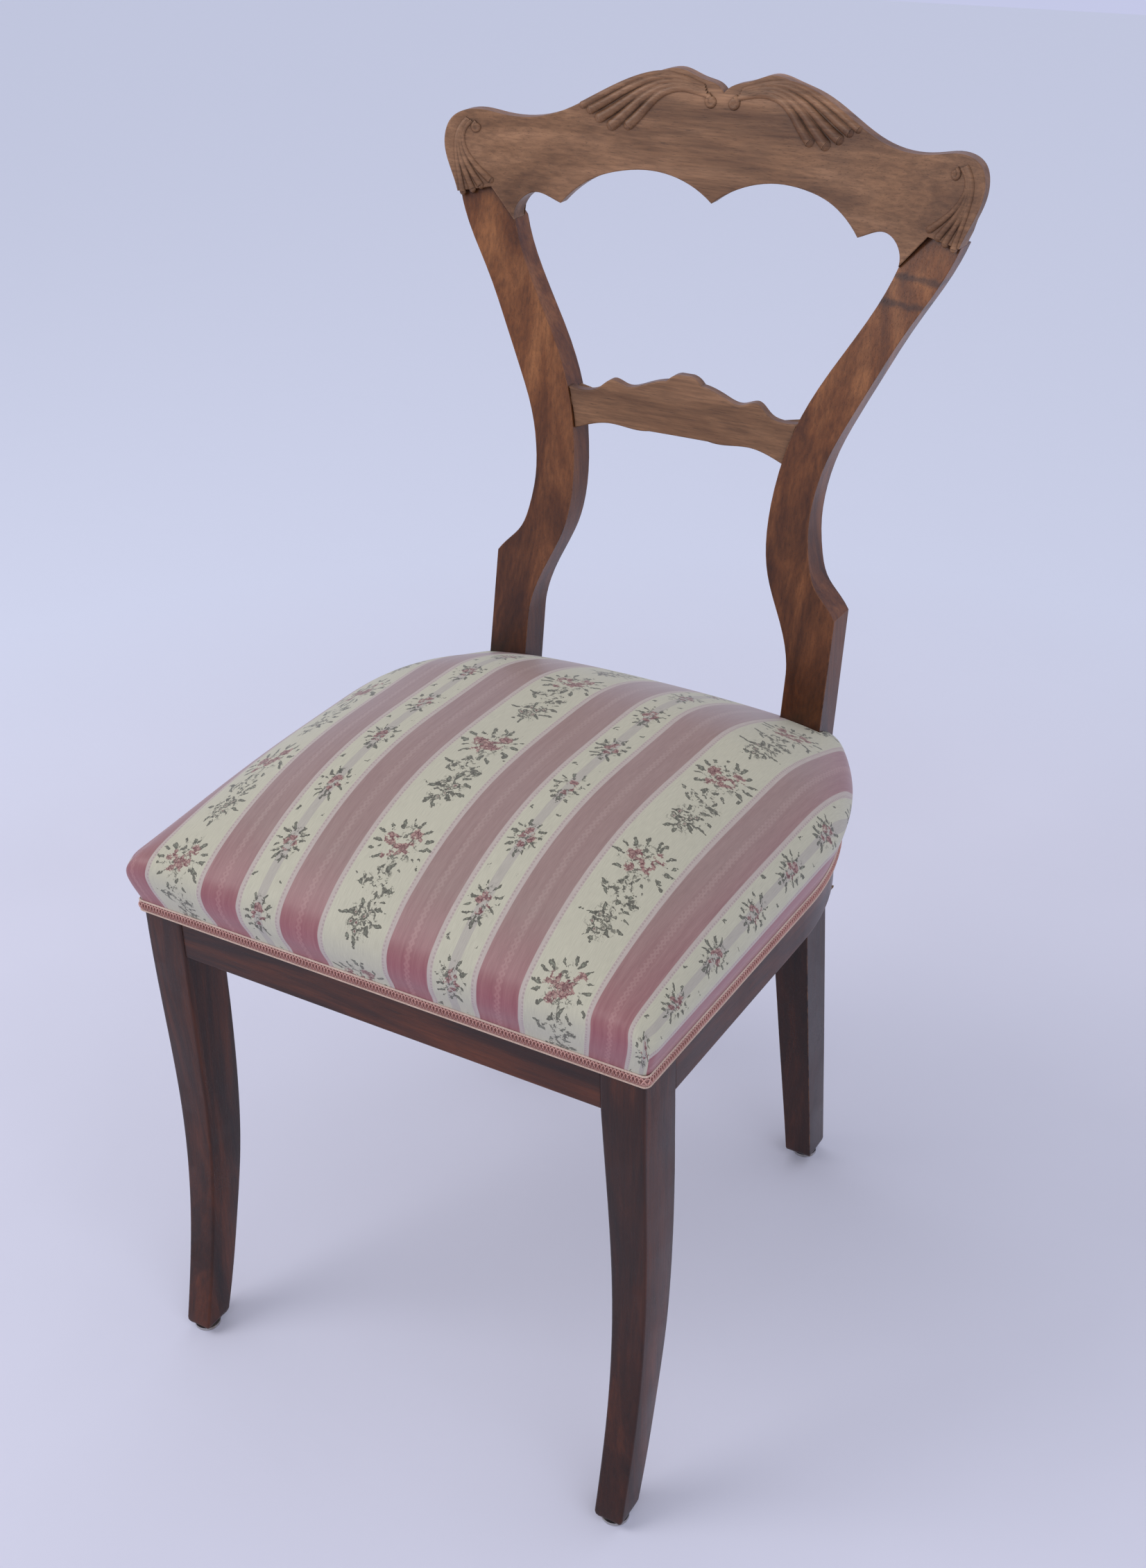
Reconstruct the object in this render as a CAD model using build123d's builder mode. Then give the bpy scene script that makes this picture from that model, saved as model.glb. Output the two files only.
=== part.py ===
from build123d import *
from math import cos, hypot, pi, sin, sqrt, tan
import os

os.makedirs("parts", exist_ok=True)

# A side chair with sabre legs, an open scalloped back and a sprung, padded seat.
# +Z is up, +Y runs from the front to the back, and the origin lies on the floor in the middle of the chair.

# Overall sizes
chair_height = 930.0          # floor to the humps of the crest rail
chair_depth = 563.0           # toes of the front legs to the back of the crest rail
crest_width = 458.0           # from ear to ear
overrun = 5.0                 # how far a cutting shape runs past what it cuts
glue_gap = 0.1                # round each tenon, dowel and block

# Seat frame
frame_width = 430.0           # over the front legs
seat_depth = 378.0            # front legs' faces to the front of the rear posts
rail_top = 410.0
rail_height = 45.0
rail_thickness = 24.0
rail_setback = 1.0            # rails lie this far behind the faces of the front legs
rail_edge_radius = 1.5
bend_start = 245.0            # where a side rail starts to bow in, behind the front legs' faces
tenon_length = 16.0
tenon_thickness = 9.0
tenon_shoulder = 6.0          # wood left above and below a seat rail's tenon
back_rail_setback = 1.5       # back rail behind the front of the rear posts

# Front legs
toe_reach = 31.5              # how far the toes stand in front of the seat frame
leg_width = 35.0
leg_depth = 43.0
foot_width = 23.5
foot_depth = 26.8
leg_edge_radius = 2.0
long_edge_count = 4           # edges of a front leg that are rounded

# Rear posts
post_step = 59.0              # how far in from the front legs' sides the posts stand at the seat
post_width = 35.0
post_depth = 31.0             # at the seat, front to back
stile_depth = 19.5            # at the crest rail, front to back
heel_reach = 32.0             # how far the rear feet stand behind the posts at the seat
heel_width = 24.0
heel_depth = 29.0

# Crest rail and cross rail
crest_thickness = 17.0
crest_bow = 36.0              # how far the ears come forward of the middle
crest_rake = 13.5             # degrees back from upright
dowel_diameter = 7.0
dowel_length = 44.0
dowel_lean = 24.0             # degrees outwards from upright, along the top of the stile
cross_thickness = 13.0
cross_setback = 3.0           # behind the faces of the stiles
cross_bow = 4.0
cross_tenon_length = 12.0
cross_tenon_height = 18.0
cross_tenon_thickness = 8.0

# Glides
glide_diameter = 21.0
glide_thickness = 3.0
glide_rim = 0.8
glide_pin_diameter = 3.0
glide_pin_length = 14.0

# Corner blocks and their screws
block_leg = 62.0
block_height = 30.0
screw_diameter = 4.0
screw_length = 32.0
screw_head_diameter = 8.0
screw_head_height = 2.6
screw_slot_width = 0.9
screw_slot_depth = 0.9
screw_inset = 36.0            # from the corner of the frame, along each rail
screw_sink = 9.0              # depth of the flat seat cut for the head
rear_screw_grip = 11.0        # wood of a rear block under a screw head
rear_block_share = 0.75       # of a block's leg, along the back rail

# Webbing and its tacks
strap_width = 54.0
strap_thickness = 1.6
strap_gap = 0.2               # between two straps where they cross
strap_lap = 18.0              # how far an end lies on its rail
straps_each_way = 3
strap_pitch_x = 91.0          # between the straps that run front to back
strap_pitch_y = 98.0          # between the straps that run side to side
strap_flat = 60.0             # level stretch of a strap at each crossing
tack_clearance = 0.05
tack_head_diameter = 6.0
tack_head_height = 1.0
tack_shank_diameter = 1.6
tack_length = 11.0
tacks_per_end = 3

# Seat springs
spring_wire = 3.4
spring_end_diameter = 84.0
spring_waist_diameter = 46.0
spring_turns = 5
spring_rise = 58.0            # how far the lashed springs stand above the seat frame
spring_clearance = 0.2        # between a spring and what it touches

# Upholstery
cover_thickness = 1.2
canvas_thickness = 1.0
cover_drop = 11.0             # how far the cover laps down over the seat frame
seat_corner_radius = 2.4      # at the frame
crease_corner_radius = 12.0   # along the crease
border_height = 38.0          # from the seat frame to the front upper edge of the border
crease_rise = 8.0             # how much higher that edge is at the back
crease_bulge = 10.0           # how far the border swells past the frame
crown_rise = 63.0             # from there to the highest part of the seat
crown_inset = 150.0           # from the crease to the level middle of the crown
crown_power = 1.9             # how soon the crown levels out inside its edge
crown_rings = 6
canvas_top_inset = 50.0       # from the frame to where the canvas lies level on the springs
post_clearance = 0.3          # between upholstery and posts
gimp_height = 10.5
gimp_thickness = 2.6
gimp_lap = 1.0                # how far the gimp hides the cover's lower edge

# Lines of the seat frame
frame_half = frame_width / 2
frame_front_y = -chair_depth / 2 + toe_reach
rail_bottom = rail_top - rail_height
rail_front_y = frame_front_y + rail_setback
rail_side_x = frame_half - rail_setback
post_front_y = frame_front_y + seat_depth
post_outer_x = frame_width / 2 - post_step
post_inner_x = post_outer_x - post_width
back_rail_front_y = post_front_y + back_rail_setback
back_rail_back_y = back_rail_front_y + rail_thickness
bend_y = frame_front_y + bend_start
bend_run = back_rail_back_y - bend_y
bend_step = rail_side_x - post_outer_x
bend_radius = (bend_run**2 + bend_step**2) / (2 * bend_step)
bend_centre_x = rail_side_x - bend_radius
frame_corner_x = rail_side_x - rail_thickness
frame_corner_y = rail_front_y + rail_thickness
bow_inner_radius = bend_radius - rail_thickness
leg_back_y = frame_front_y + leg_depth
leg_inner_x = frame_half - leg_width

# Lines of the back
crest_half = crest_width / 2
crest_slope = tan(crest_rake * pi / 180)
crest_run = crest_thickness / cos(crest_rake * pi / 180)
hump_share = 0.175
crest_top_y = chair_depth / 2 - crest_run + crest_bow * hump_share**2


def crest_face_y(height):
    # Front of the crest rail in the middle of the chair
    return crest_top_y - (chair_height - height) * crest_slope


# Outlines as shares of the crest rail's half width and of the back's height above the seat frame
back_rise = chair_height - rail_top
post_straight_share = 0.173       # where the inner edge of a post starts to curve
shoulder_share = 0.267            # where a straight post steps in to the curved stile
stile_inner_shares = (
    (0.465, 0.2649),
    (0.413, 0.3168),
    (0.390, 0.3848),
    (0.398, 0.442),
    (0.450, 0.5386),
    (0.564, 0.6352),
    (0.669, 0.7121),
)
stile_outer_shares = (
    (0.885, 0.7568),
    (0.800, 0.6942),
    (0.718, 0.6262),
    (0.641, 0.5582),
    (0.579, 0.4957),
    (0.550, 0.442),
    (0.544, 0.3937),
    (0.559, 0.349),
    (0.590, 0.3114),
    (0.655, 0.281),
)
joint_inner_shares = (0.729, 0.7731)
joint_middle_shares = (0.821, 0.8194)
joint_outer_shares = (0.940, 0.8115)
ear_shares = ((0.973, 0.8462), (1.0, 0.8891), (0.980, 0.9177), (0.900, 0.9308), (0.810, 0.9249))
crest_top_shares = (
    (0.810, 0.9249),
    (0.716, 0.9213),
    (0.603, 0.9303),
    (0.480, 0.9553),
    (0.349, 0.9821),
    (0.262, 0.9928),
    (0.175, 1.0),
    (0.087, 0.9885),
    (0.031, 0.9821),
    (0.0, 0.9714),
)
arch_shares = (
    (0.563, 0.8015),
    (0.515, 0.822),
    (0.437, 0.8426),
    (0.349, 0.8533),
    (0.240, 0.8569),
    (0.087, 0.8417),
    (0.0, 0.8194),
)
hollow_shares = ((0.729, 0.7872), (0.699, 0.8077), (0.659, 0.8149), (0.607, 0.8095), (0.563, 0.8015))
cross_top_shares = (
    (0.500, 0.5457),
    (0.430, 0.5368),
    (0.384, 0.5359),
    (0.332, 0.5422),
    (0.284, 0.5565),
    (0.227, 0.5502),
    (0.157, 0.5565),
    (0.068, 0.5672),
)
knob_shares = ((0.068, 0.5672), (0.038, 0.577), (0.0, 0.5788))
cross_bottom_shares = (
    (0.470, 0.467),
    (0.393, 0.4796),
    (0.279, 0.4912),
    (0.148, 0.4876),
    (0.050, 0.4974),
    (0.0, 0.5076),
)


def outline_points(shares):
    return [(across * crest_half, rail_top + up * back_rise) for across, up in shares]


joint_inner, joint_middle, joint_outer = outline_points(
    (joint_inner_shares, joint_middle_shares, joint_outer_shares)
)
stile_face_share = ((joint_inner[0] + joint_middle[0]) / 2 / crest_half) ** 2
stile_top_z = joint_middle[1]
stile_top_y = crest_face_y(stile_top_z) - crest_bow * stile_face_share
stile_slope = (stile_top_y - post_front_y) / (stile_top_z - rail_top)


def stile_face_y(height):
    return post_front_y + (height - rail_top) * stile_slope


# Front legs, from the side and from the front
toe_front_shares = ((1.0, 0.0), (0.73, -0.04), (0.50, -0.085), (0.245, 0.24), (0.12, 0.59), (0.0, 1.0))
toe_back_shares = ((0.0, 1.0), (0.12, 0.66), (0.245, 0.38), (0.36, 0.16), (0.50, 0.02), (0.72, -0.03))
leg_bottom = glide_thickness
leg_length = rail_top - leg_bottom
toe_back_y = -chair_depth / 2 + foot_depth
leg_outer_share = 0.45
leg_outer_pull = 3.0
leg_inner_pull = 4.6
foot_outer_x = frame_half - 2 * leg_outer_pull


def leg_height(share):
    return leg_bottom + share * leg_length


with BuildPart() as front_leg_right_blank:
    with BuildSketch(Plane.YZ) as leg_side:
        with BuildLine():
            toes = [(frame_front_y - out * toe_reach, leg_height(up)) for up, out in toe_front_shares]
            face = Spline(*toes)
            sole = Line(face @ 1, (toe_back_y, leg_bottom))
            calf_reach = leg_back_y - toe_back_y
            calf = Spline(*[(leg_back_y - out * calf_reach, leg_height(up)) for up, out in toe_back_shares])
            knee = Line(calf @ 1, (leg_back_y, rail_bottom))
            back = Line(knee @ 1, (leg_back_y, rail_top))
            Line(back @ 1, face @ 0)
        make_face()
    extrude(amount=frame_half)
    with BuildSketch(Plane.XZ) as leg_front:
        with BuildLine():
            outer = Spline(
                (frame_half, rail_top),
                (frame_half - leg_outer_pull, leg_height(leg_outer_share)),
                (foot_outer_x, leg_bottom),
            )
            foot = Line(outer @ 1, (foot_outer_x - foot_width, leg_bottom))
            inner = Spline(
                foot @ 1,
                (leg_inner_x + leg_inner_pull, leg_height(leg_outer_share)),
                (leg_inner_x, rail_bottom),
            )
            shank = Line(inner @ 1, (leg_inner_x, rail_top))
            Line(shank @ 1, outer @ 0)
        make_face()
    extrude(amount=chair_depth, both=True, mode=Mode.INTERSECT)
    fillet(front_leg_right_blank.edges().sort_by(SortBy.LENGTH)[-long_edge_count:], leg_edge_radius)

# Rear post: straight leg and seat post below, curved stile above
heel_front_shares = ((0.0, 1.0), (0.245, 0.68), (0.50, 0.34), (0.75, 0.07), (0.88, -0.02), (1.0, 0.0))
heel_back_shares = ((1.0, 0.0), (0.88, 0.06), (0.75, 0.22), (0.50, 0.49), (0.245, 0.76), (0.0, 1.0))
post_back_y = post_front_y + post_depth
heel_front_reach = heel_reach + post_depth - heel_depth
stile_back_top_y = stile_top_y + stile_depth
stile_back_slope = (stile_back_top_y - post_back_y) / (stile_top_z - rail_top)
stile_end_z = joint_outer[1] + crest_thickness
shoulder_height = rail_top + shoulder_share * back_rise
post_straight_top = rail_top + post_straight_share * back_rise


def raked_y(start_y, slope, height):
    return start_y + (height - rail_top) * slope


def span_box(low, high, mode=Mode.ADD):
    # A block between two opposite corners, in the part that is being built
    with Locations(tuple((a + b) / 2 for a, b in zip(low, high))):
        Box(*(b - a for a, b in zip(low, high)), mode=mode)


with BuildPart() as rear_post_right_blank:
    with BuildSketch(Plane.YZ) as post_side:
        with BuildLine():
            shin = Spline(
                *[(post_front_y + out * heel_front_reach, leg_height(up)) for up, out in heel_front_shares],
                tangents=((-heel_front_reach, leg_length), (stile_slope, 1)),
            )
            face = Line(shin @ 1, (raked_y(post_front_y, stile_slope, stile_end_z), stile_end_z))
            top = Line(face @ 1, (raked_y(post_back_y, stile_back_slope, stile_end_z), stile_end_z))
            back = Line(top @ 1, (post_back_y, rail_top))
            calf = Spline(
                *[(post_back_y + out * heel_reach, leg_height(up)) for up, out in heel_back_shares],
                tangents=((-stile_back_slope, -1), (heel_reach, -leg_length)),
            )
            Line(calf @ 1, shin @ 0)
        make_face()
    extrude(amount=crest_half)
    with BuildSketch(Plane.XZ) as post_front:
        with BuildLine():
            heel_inner = Line((post_outer_x, leg_bottom), (post_outer_x - heel_width, leg_bottom))
            taper = Line(heel_inner @ 1, (post_inner_x, rail_bottom))
            seat_part = Line(taper @ 1, (post_inner_x, post_straight_top))
            waist = Spline(seat_part @ 1, *outline_points(stile_inner_shares), joint_inner)
            joint = Polyline(joint_inner, joint_middle, joint_outer)
            shoulder = Spline(joint @ 1, *outline_points(stile_outer_shares), (post_outer_x, shoulder_height))
            Line(shoulder @ 1, heel_inner @ 0)
        make_face()
    extrude(amount=chair_depth, both=True, mode=Mode.INTERSECT)


def bowed_board(face_y, low, high, slope, bow, half_span, run):
    # A board that is bowed in plan and leans back, between two heights
    with BuildSketch(Plane.XY.offset(low)) as plan:
        with BuildLine():
            front = ThreePointArc((-half_span, face_y - bow), (0, face_y), (half_span, face_y - bow))
            side = Line(front @ 1, (half_span, face_y - bow + run))
            rear = ThreePointArc(side @ 1, (0, face_y + run), (-half_span, face_y - bow + run))
            Line(rear @ 1, front @ 0)
        make_face()
    extrude(plan.sketch, amount=(high - low) * hypot(1, slope), dir=(0, slope, 1))


with BuildPart() as crest_blank:
    crest_low = joint_inner[1] - overrun
    board_half = crest_half + overrun
    board_bow = crest_bow * (board_half / crest_half) ** 2
    bowed_board(
        crest_face_y(crest_low),
        crest_low,
        chair_height + overrun,
        crest_slope,
        board_bow,
        board_half,
        crest_run,
    )
    with BuildSketch(Plane.XZ) as crest_outline:
        with BuildLine():
            joint = Polyline(joint_inner, joint_middle, joint_outer)
            edge = Spline(joint @ 1, *outline_points(ear_shares), *outline_points(crest_top_shares[1:]))
            arch = Spline(*outline_points(arch_shares))
            Line(edge @ 1, arch @ 1)
            Spline(joint_inner, *outline_points(hollow_shares))
        make_face()
        mirror(about=Plane.YZ)
    extrude(amount=chair_depth, both=True, mode=Mode.INTERSECT)

# Cross rail: fitted against the stiles, with a tenon into each
cross_face_gap = cross_setback + cross_bow
cross_ends = outline_points((cross_bottom_shares[0], cross_top_shares[0]))
cross_tenon_centre = (cross_ends[0][1] + cross_ends[1][1]) / 2
cross_tenon_y = stile_face_y(cross_tenon_centre) + cross_setback + cross_thickness / 2
cross_joint_x = crest_half * cross_top_shares[0][0]
cross_tenon_low = cross_tenon_centre - cross_tenon_height / 2
cross_tenon_high = cross_tenon_centre + cross_tenon_height / 2


def cross_tenon(slack, mode):
    # Both tenons of the cross rail, made larger all round by the slack
    half = cross_joint_x - cross_tenon_length / 2 + cross_tenon_length
    low = (-half - slack, cross_tenon_y - cross_tenon_thickness / 2 - slack, cross_tenon_low - slack)
    high = (half + slack, cross_tenon_y + cross_tenon_thickness / 2 + slack, cross_tenon_high + slack)
    span_box(low, high, mode)


with BuildPart() as cross_rail:
    cross_low, cross_high = cross_ends[0][1], outline_points(knob_shares)[-1][1]
    bowed_board(
        stile_face_y(cross_low) + cross_face_gap,
        cross_low,
        cross_high,
        stile_slope,
        cross_bow,
        cross_joint_x,
        cross_thickness,
    )
    with BuildSketch(Plane.XZ) as cross_outline:
        with BuildLine():
            crown = Spline(*outline_points(cross_top_shares))
            knob = Spline(*outline_points(knob_shares))
            belly = Spline(*outline_points(cross_bottom_shares))
            Line(knob @ 1, belly @ 1)
            Line(belly @ 0, crown @ 0)
        make_face()
        mirror(about=Plane.YZ)
    extrude(amount=chair_depth, both=True, mode=Mode.INTERSECT)
    add(rear_post_right_blank.part, mode=Mode.SUBTRACT)
    add(rear_post_right_blank.part.mirror(Plane.YZ), mode=Mode.SUBTRACT)
    cross_tenon(0, Mode.ADD)

# Dowels between stile and crest rail, one through each face of the joint
dowel_up = (sin(dowel_lean * pi / 180), stile_slope * cos(dowel_lean * pi / 180), cos(dowel_lean * pi / 180))


def dowel_planes():
    planes = []
    for a, b in ((joint_inner, joint_middle), (joint_middle, joint_outer)):
        x, z = (a[0] + b[0]) / 2, (a[1] + b[1]) / 2
        crest_middle_y = crest_face_y(z) - crest_bow * (x / crest_half) ** 2 + crest_run / 2
        stile_middle_y = stile_face_y(z) + stile_depth / 2
        planes.append(Plane(origin=(x, (crest_middle_y + stile_middle_y) / 2, z), z_dir=dowel_up))
    return planes


with BuildPart() as dowels_right:
    with Locations(*dowel_planes()):
        Cylinder(dowel_diameter / 2, dowel_length)

with BuildPart() as dowel_holes_right:
    with Locations(*dowel_planes()):
        Cylinder(dowel_diameter / 2 + glue_gap, dowel_length + 2 * glue_gap)

with BuildPart() as crest_dowels:
    add(dowels_right.part)
    mirror(about=Plane.YZ)

with BuildPart() as crest_rail:
    add(crest_blank.part)
    add(dowel_holes_right.part, mode=Mode.SUBTRACT)
    add(dowel_holes_right.part.mirror(Plane.YZ), mode=Mode.SUBTRACT)

# Seat rails, each with a tenon into its leg or post
tenon_low = rail_bottom + tenon_shoulder
tenon_high = rail_top - tenon_shoulder
front_tenon_y = rail_front_y + rail_thickness / 2
side_tenon_x = rail_side_x - rail_thickness / 2
back_tenon_y = back_rail_front_y + rail_thickness / 2
side_back_tenon_y = post_front_y + tenon_thickness


def tenon_x(inner_x, outer_x, centre_y, slack, mode):
    # A tenon that points across the chair
    low = (inner_x - slack, centre_y - tenon_thickness / 2 - slack, tenon_low - slack)
    high = (outer_x + slack, centre_y + tenon_thickness / 2 + slack, tenon_high + slack)
    span_box(low, high, mode)


def tenon_y(front_y, back_y, centre_x, slack, mode):
    # A tenon that points to the front
    low = (centre_x - tenon_thickness / 2 - slack, front_y - slack, tenon_low - slack)
    high = (centre_x + tenon_thickness / 2 + slack, back_y + slack, tenon_high + slack)
    span_box(low, high, mode)


with BuildPart() as front_seat_rail:
    span_box(
        (-leg_inner_x, rail_front_y, rail_bottom), (leg_inner_x, rail_front_y + rail_thickness, rail_top)
    )
    fillet(front_seat_rail.edges().filter_by(Axis.X).group_by(Axis.Z)[0], rail_edge_radius)
    tenon_x(-leg_inner_x - tenon_length, leg_inner_x + tenon_length, front_tenon_y, 0, Mode.ADD)

with BuildPart() as back_seat_rail:
    span_box(
        (-post_inner_x, back_rail_front_y, rail_bottom), (post_inner_x, back_rail_back_y, rail_top)
    )
    fillet(back_seat_rail.edges().filter_by(Axis.X).group_by(Axis.Z)[0], rail_edge_radius)
    tenon_x(-post_inner_x - tenon_length, post_inner_x + tenon_length, back_tenon_y, 0, Mode.ADD)


def bend_x(radius, y):
    # Where a bend of that radius, about the centre of the side rail's bow, lies at y
    return bend_centre_x + sqrt(radius**2 - (y - bend_y) ** 2)


def bend_end_y(radius, x):
    return bend_y + sqrt(radius**2 - (x - bend_centre_x) ** 2)


with BuildPart() as side_rail_right_blank:
    with BuildSketch(Plane.XY.offset(rail_bottom)) as side_plan:
        with BuildLine():
            outer_line = Line((rail_side_x, leg_back_y), (rail_side_x, bend_y))
            outer_bend = TangentArc(outer_line @ 1, (post_outer_x, back_rail_back_y), tangent=(0, 1))
            inner_end = (post_outer_x, bend_end_y(bow_inner_radius, post_outer_x))
            end = Line(outer_bend @ 1, inner_end)
            inner_line = Line((frame_corner_x, leg_back_y), (frame_corner_x, bend_y))
            TangentArc(inner_line @ 1, inner_end, tangent=(0, 1))
            Line(inner_line @ 0, outer_line @ 0)
        make_face()
    extrude(amount=rail_height)
    fillet(side_rail_right_blank.faces().sort_by(Axis.Z)[0].edges().sort_by(Axis.X)[-2:], rail_edge_radius)
    tenon_y(leg_back_y - tenon_length, leg_back_y, side_tenon_x, 0, Mode.ADD)
    tenon_x(post_outer_x - tenon_length, post_outer_x, side_back_tenon_y, 0, Mode.ADD)

# Corner blocks, and the screws that hold them
block_low = rail_bottom + (rail_height - block_height) / 2
screw_z = block_low + block_height / 2
rear_block_leg = block_leg * rear_block_share
rear_block_x = post_inner_x - rear_block_leg
rear_screw_x = post_inner_x - rear_block_leg / 2
rear_block_front_y = back_rail_front_y - block_leg
head_y = frame_corner_y + block_leg - screw_inset - screw_sink
head_x = frame_corner_x - block_leg + screw_inset + screw_sink
rear_screw_y = back_rail_front_y - screw_inset
rear_head_radius = bow_inner_radius - rear_screw_grip
rear_drive_y = (rear_screw_y - bend_y) / bow_inner_radius
rear_drive_x = sqrt(1 - rear_drive_y**2)
rear_head_x = bend_centre_x + rear_drive_x * rear_head_radius
rear_head_y = bend_y + rear_drive_y * rear_head_radius


def screw_planes():
    # The origin of each is the middle of a screw's head, and its Z axis the way the screw is driven
    return [
        Plane(origin=(frame_corner_x - screw_inset, head_y, screw_z), z_dir=(0, -1, 0)),
        Plane(origin=(head_x, frame_corner_y + screw_inset, screw_z), z_dir=(1, 0, 0)),
        Plane(origin=(rear_screw_x, back_rail_front_y - rear_screw_grip, screw_z), z_dir=(0, 1, 0)),
        Plane(origin=(rear_head_x, rear_head_y, screw_z), z_dir=(rear_drive_x, rear_drive_y, 0)),
    ]


with BuildPart() as corner_screw:
    Cylinder(screw_diameter / 2, screw_length, align=(Align.CENTER, Align.CENTER, Align.MIN))
    Cone(
        screw_head_diameter / 2,
        screw_diameter / 2,
        screw_head_height,
        align=(Align.CENTER, Align.CENTER, Align.MIN),
    )
    with BuildSketch(Plane.XY) as slot:
        Rectangle(screw_head_diameter, screw_slot_width)
    extrude(amount=screw_slot_depth, mode=Mode.SUBTRACT)

with BuildPart() as screw_hole:
    Cylinder(screw_diameter / 2, screw_length, align=(Align.CENTER, Align.CENTER, Align.MIN))
    Cone(
        screw_head_diameter / 2,
        screw_diameter / 2,
        screw_head_height,
        align=(Align.CENTER, Align.CENTER, Align.MIN),
    )
    Cylinder(screw_head_diameter / 2, block_leg, align=(Align.CENTER, Align.CENTER, Align.MAX))

with BuildPart() as screws_right:
    with Locations(*screw_planes()):
        add(corner_screw.part)

with BuildPart() as screw_holes_right:
    with Locations(*screw_planes()):
        add(screw_hole.part)


# Glides, and where they sit in the feet
glide_front_x = foot_outer_x - foot_width / 2
glide_front_y = -chair_depth / 2 + foot_depth / 2
glide_rear_x = post_outer_x - heel_width / 2
glide_rear_y = post_front_y + heel_front_reach + heel_depth / 2


def glide_form():
    # A slightly domed disc with a pin that is driven up into the foot
    with BuildPart() as form:
        Cylinder(glide_diameter / 2, glide_thickness, align=(Align.CENTER, Align.CENTER, Align.MIN))
        fillet(form.edges().sort_by(Axis.Z)[0], glide_rim)
        Cylinder(
            glide_pin_diameter / 2,
            glide_thickness + glide_pin_length,
            align=(Align.CENTER, Align.CENTER, Align.MIN),
        )
    return form.part


def pin_hole(x, y):
    # The hole for a glide's pin, in the foot that is being built
    with Locations((x, y, glide_thickness)):
        Cylinder(
            glide_pin_diameter / 2,
            glide_pin_length + glue_gap,
            align=(Align.CENTER, Align.CENTER, Align.MIN),
            mode=Mode.SUBTRACT,
        )


def finish(name, piece):
    piece.label = name
    export_step(piece, f"parts/{name}.step")


def finish_pair(name, right):
    # Writes a piece of the right-hand side and its mirror image
    finish(f"{name}_right", right)
    finish(f"{name}_left", right.mirror(Plane.YZ))


# Legs and posts with their mortises
with BuildPart() as front_leg_right:
    add(front_leg_right_blank.part)
    tenon_x(leg_inner_x, leg_inner_x + tenon_length, front_tenon_y, glue_gap, Mode.SUBTRACT)
    tenon_y(leg_back_y - tenon_length, leg_back_y, side_tenon_x, glue_gap, Mode.SUBTRACT)
    pin_hole(glide_front_x, glide_front_y)

with BuildPart() as rear_post_right:
    add(rear_post_right_blank.part)
    tenon_x(post_inner_x, post_inner_x + tenon_length, back_tenon_y, glue_gap, Mode.SUBTRACT)
    tenon_x(post_outer_x - tenon_length, post_outer_x, side_back_tenon_y, glue_gap, Mode.SUBTRACT)
    cross_tenon(glue_gap, Mode.SUBTRACT)
    add(dowel_holes_right.part, mode=Mode.SUBTRACT)
    pin_hole(glide_rear_x, glide_rear_y)

with BuildPart() as side_seat_rail_right:
    add(side_rail_right_blank.part)
    add(screw_holes_right.part, mode=Mode.SUBTRACT)

with BuildPart() as front_corner_block_right:
    with BuildSketch(Plane.XY.offset(block_low)):
        with BuildLine():
            Polyline(
                (frame_corner_x, frame_corner_y),
                (frame_corner_x - block_leg, frame_corner_y),
                (frame_corner_x, frame_corner_y + block_leg),
                close=True,
            )
        make_face()
    extrude(amount=block_height)
    span_box(
        (leg_inner_x - glue_gap, rail_front_y, rail_bottom),
        (frame_half, leg_back_y + glue_gap, rail_top),
        Mode.SUBTRACT,
    )
    add(screw_holes_right.part, mode=Mode.SUBTRACT)

with BuildPart() as rear_corner_block_right:
    with BuildSketch(Plane.XY.offset(block_low)):
        with BuildLine():
            Polyline(
                (rear_block_x, back_rail_front_y),
                (post_outer_x, back_rail_front_y),
                (frame_corner_x, rear_block_front_y),
                (frame_corner_x - rail_thickness, rear_block_front_y),
                close=True,
            )
        make_face()
    extrude(amount=block_height)
    add(rear_post_right_blank.part, mode=Mode.SUBTRACT)
    add(side_rail_right_blank.part, mode=Mode.SUBTRACT)
    add(screw_holes_right.part, mode=Mode.SUBTRACT)

with BuildPart() as corner_block_screws:
    add(screws_right.part)
    mirror(about=Plane.YZ)

# Webbing: straps that pass over and under each other below the rails
weave_rise = (strap_thickness + strap_gap) / 2
strap_mid_z = rail_bottom - strap_thickness / 2 - weave_rise
inner_mid_y = (frame_corner_y + back_rail_front_y) / 2
strap_steps = [i - (straps_each_way - 1) / 2 for i in range(straps_each_way)]
strap_xs = [step * strap_pitch_x for step in strap_steps]
strap_ys = [inner_mid_y + step * strap_pitch_y for step in strap_steps]


def strap_profile(start, stop, crossings, first_over):
    # The edge view of a strap: level on the rails, and over or under at each crossing
    path = [(start, strap_mid_z + weave_rise), (start + strap_lap, strap_mid_z + weave_rise)]
    over = first_over
    for middle in crossings:
        level = strap_mid_z + (weave_rise if over else -weave_rise)
        path += [(middle - strap_flat / 2, level), (middle + strap_flat / 2, level)]
        over = not over
    path += [(stop - strap_lap, strap_mid_z + weave_rise), (stop, strap_mid_z + weave_rise)]
    top = [(along, level + strap_thickness / 2) for along, level in path]
    under = [(along, level - strap_thickness / 2) for along, level in reversed(path)]
    return top + under


def rail_inner_x(y):
    # Inner face of the right side rail at y
    if y < bend_y:
        return frame_corner_x
    return bend_x(bow_inner_radius, y)


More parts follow.
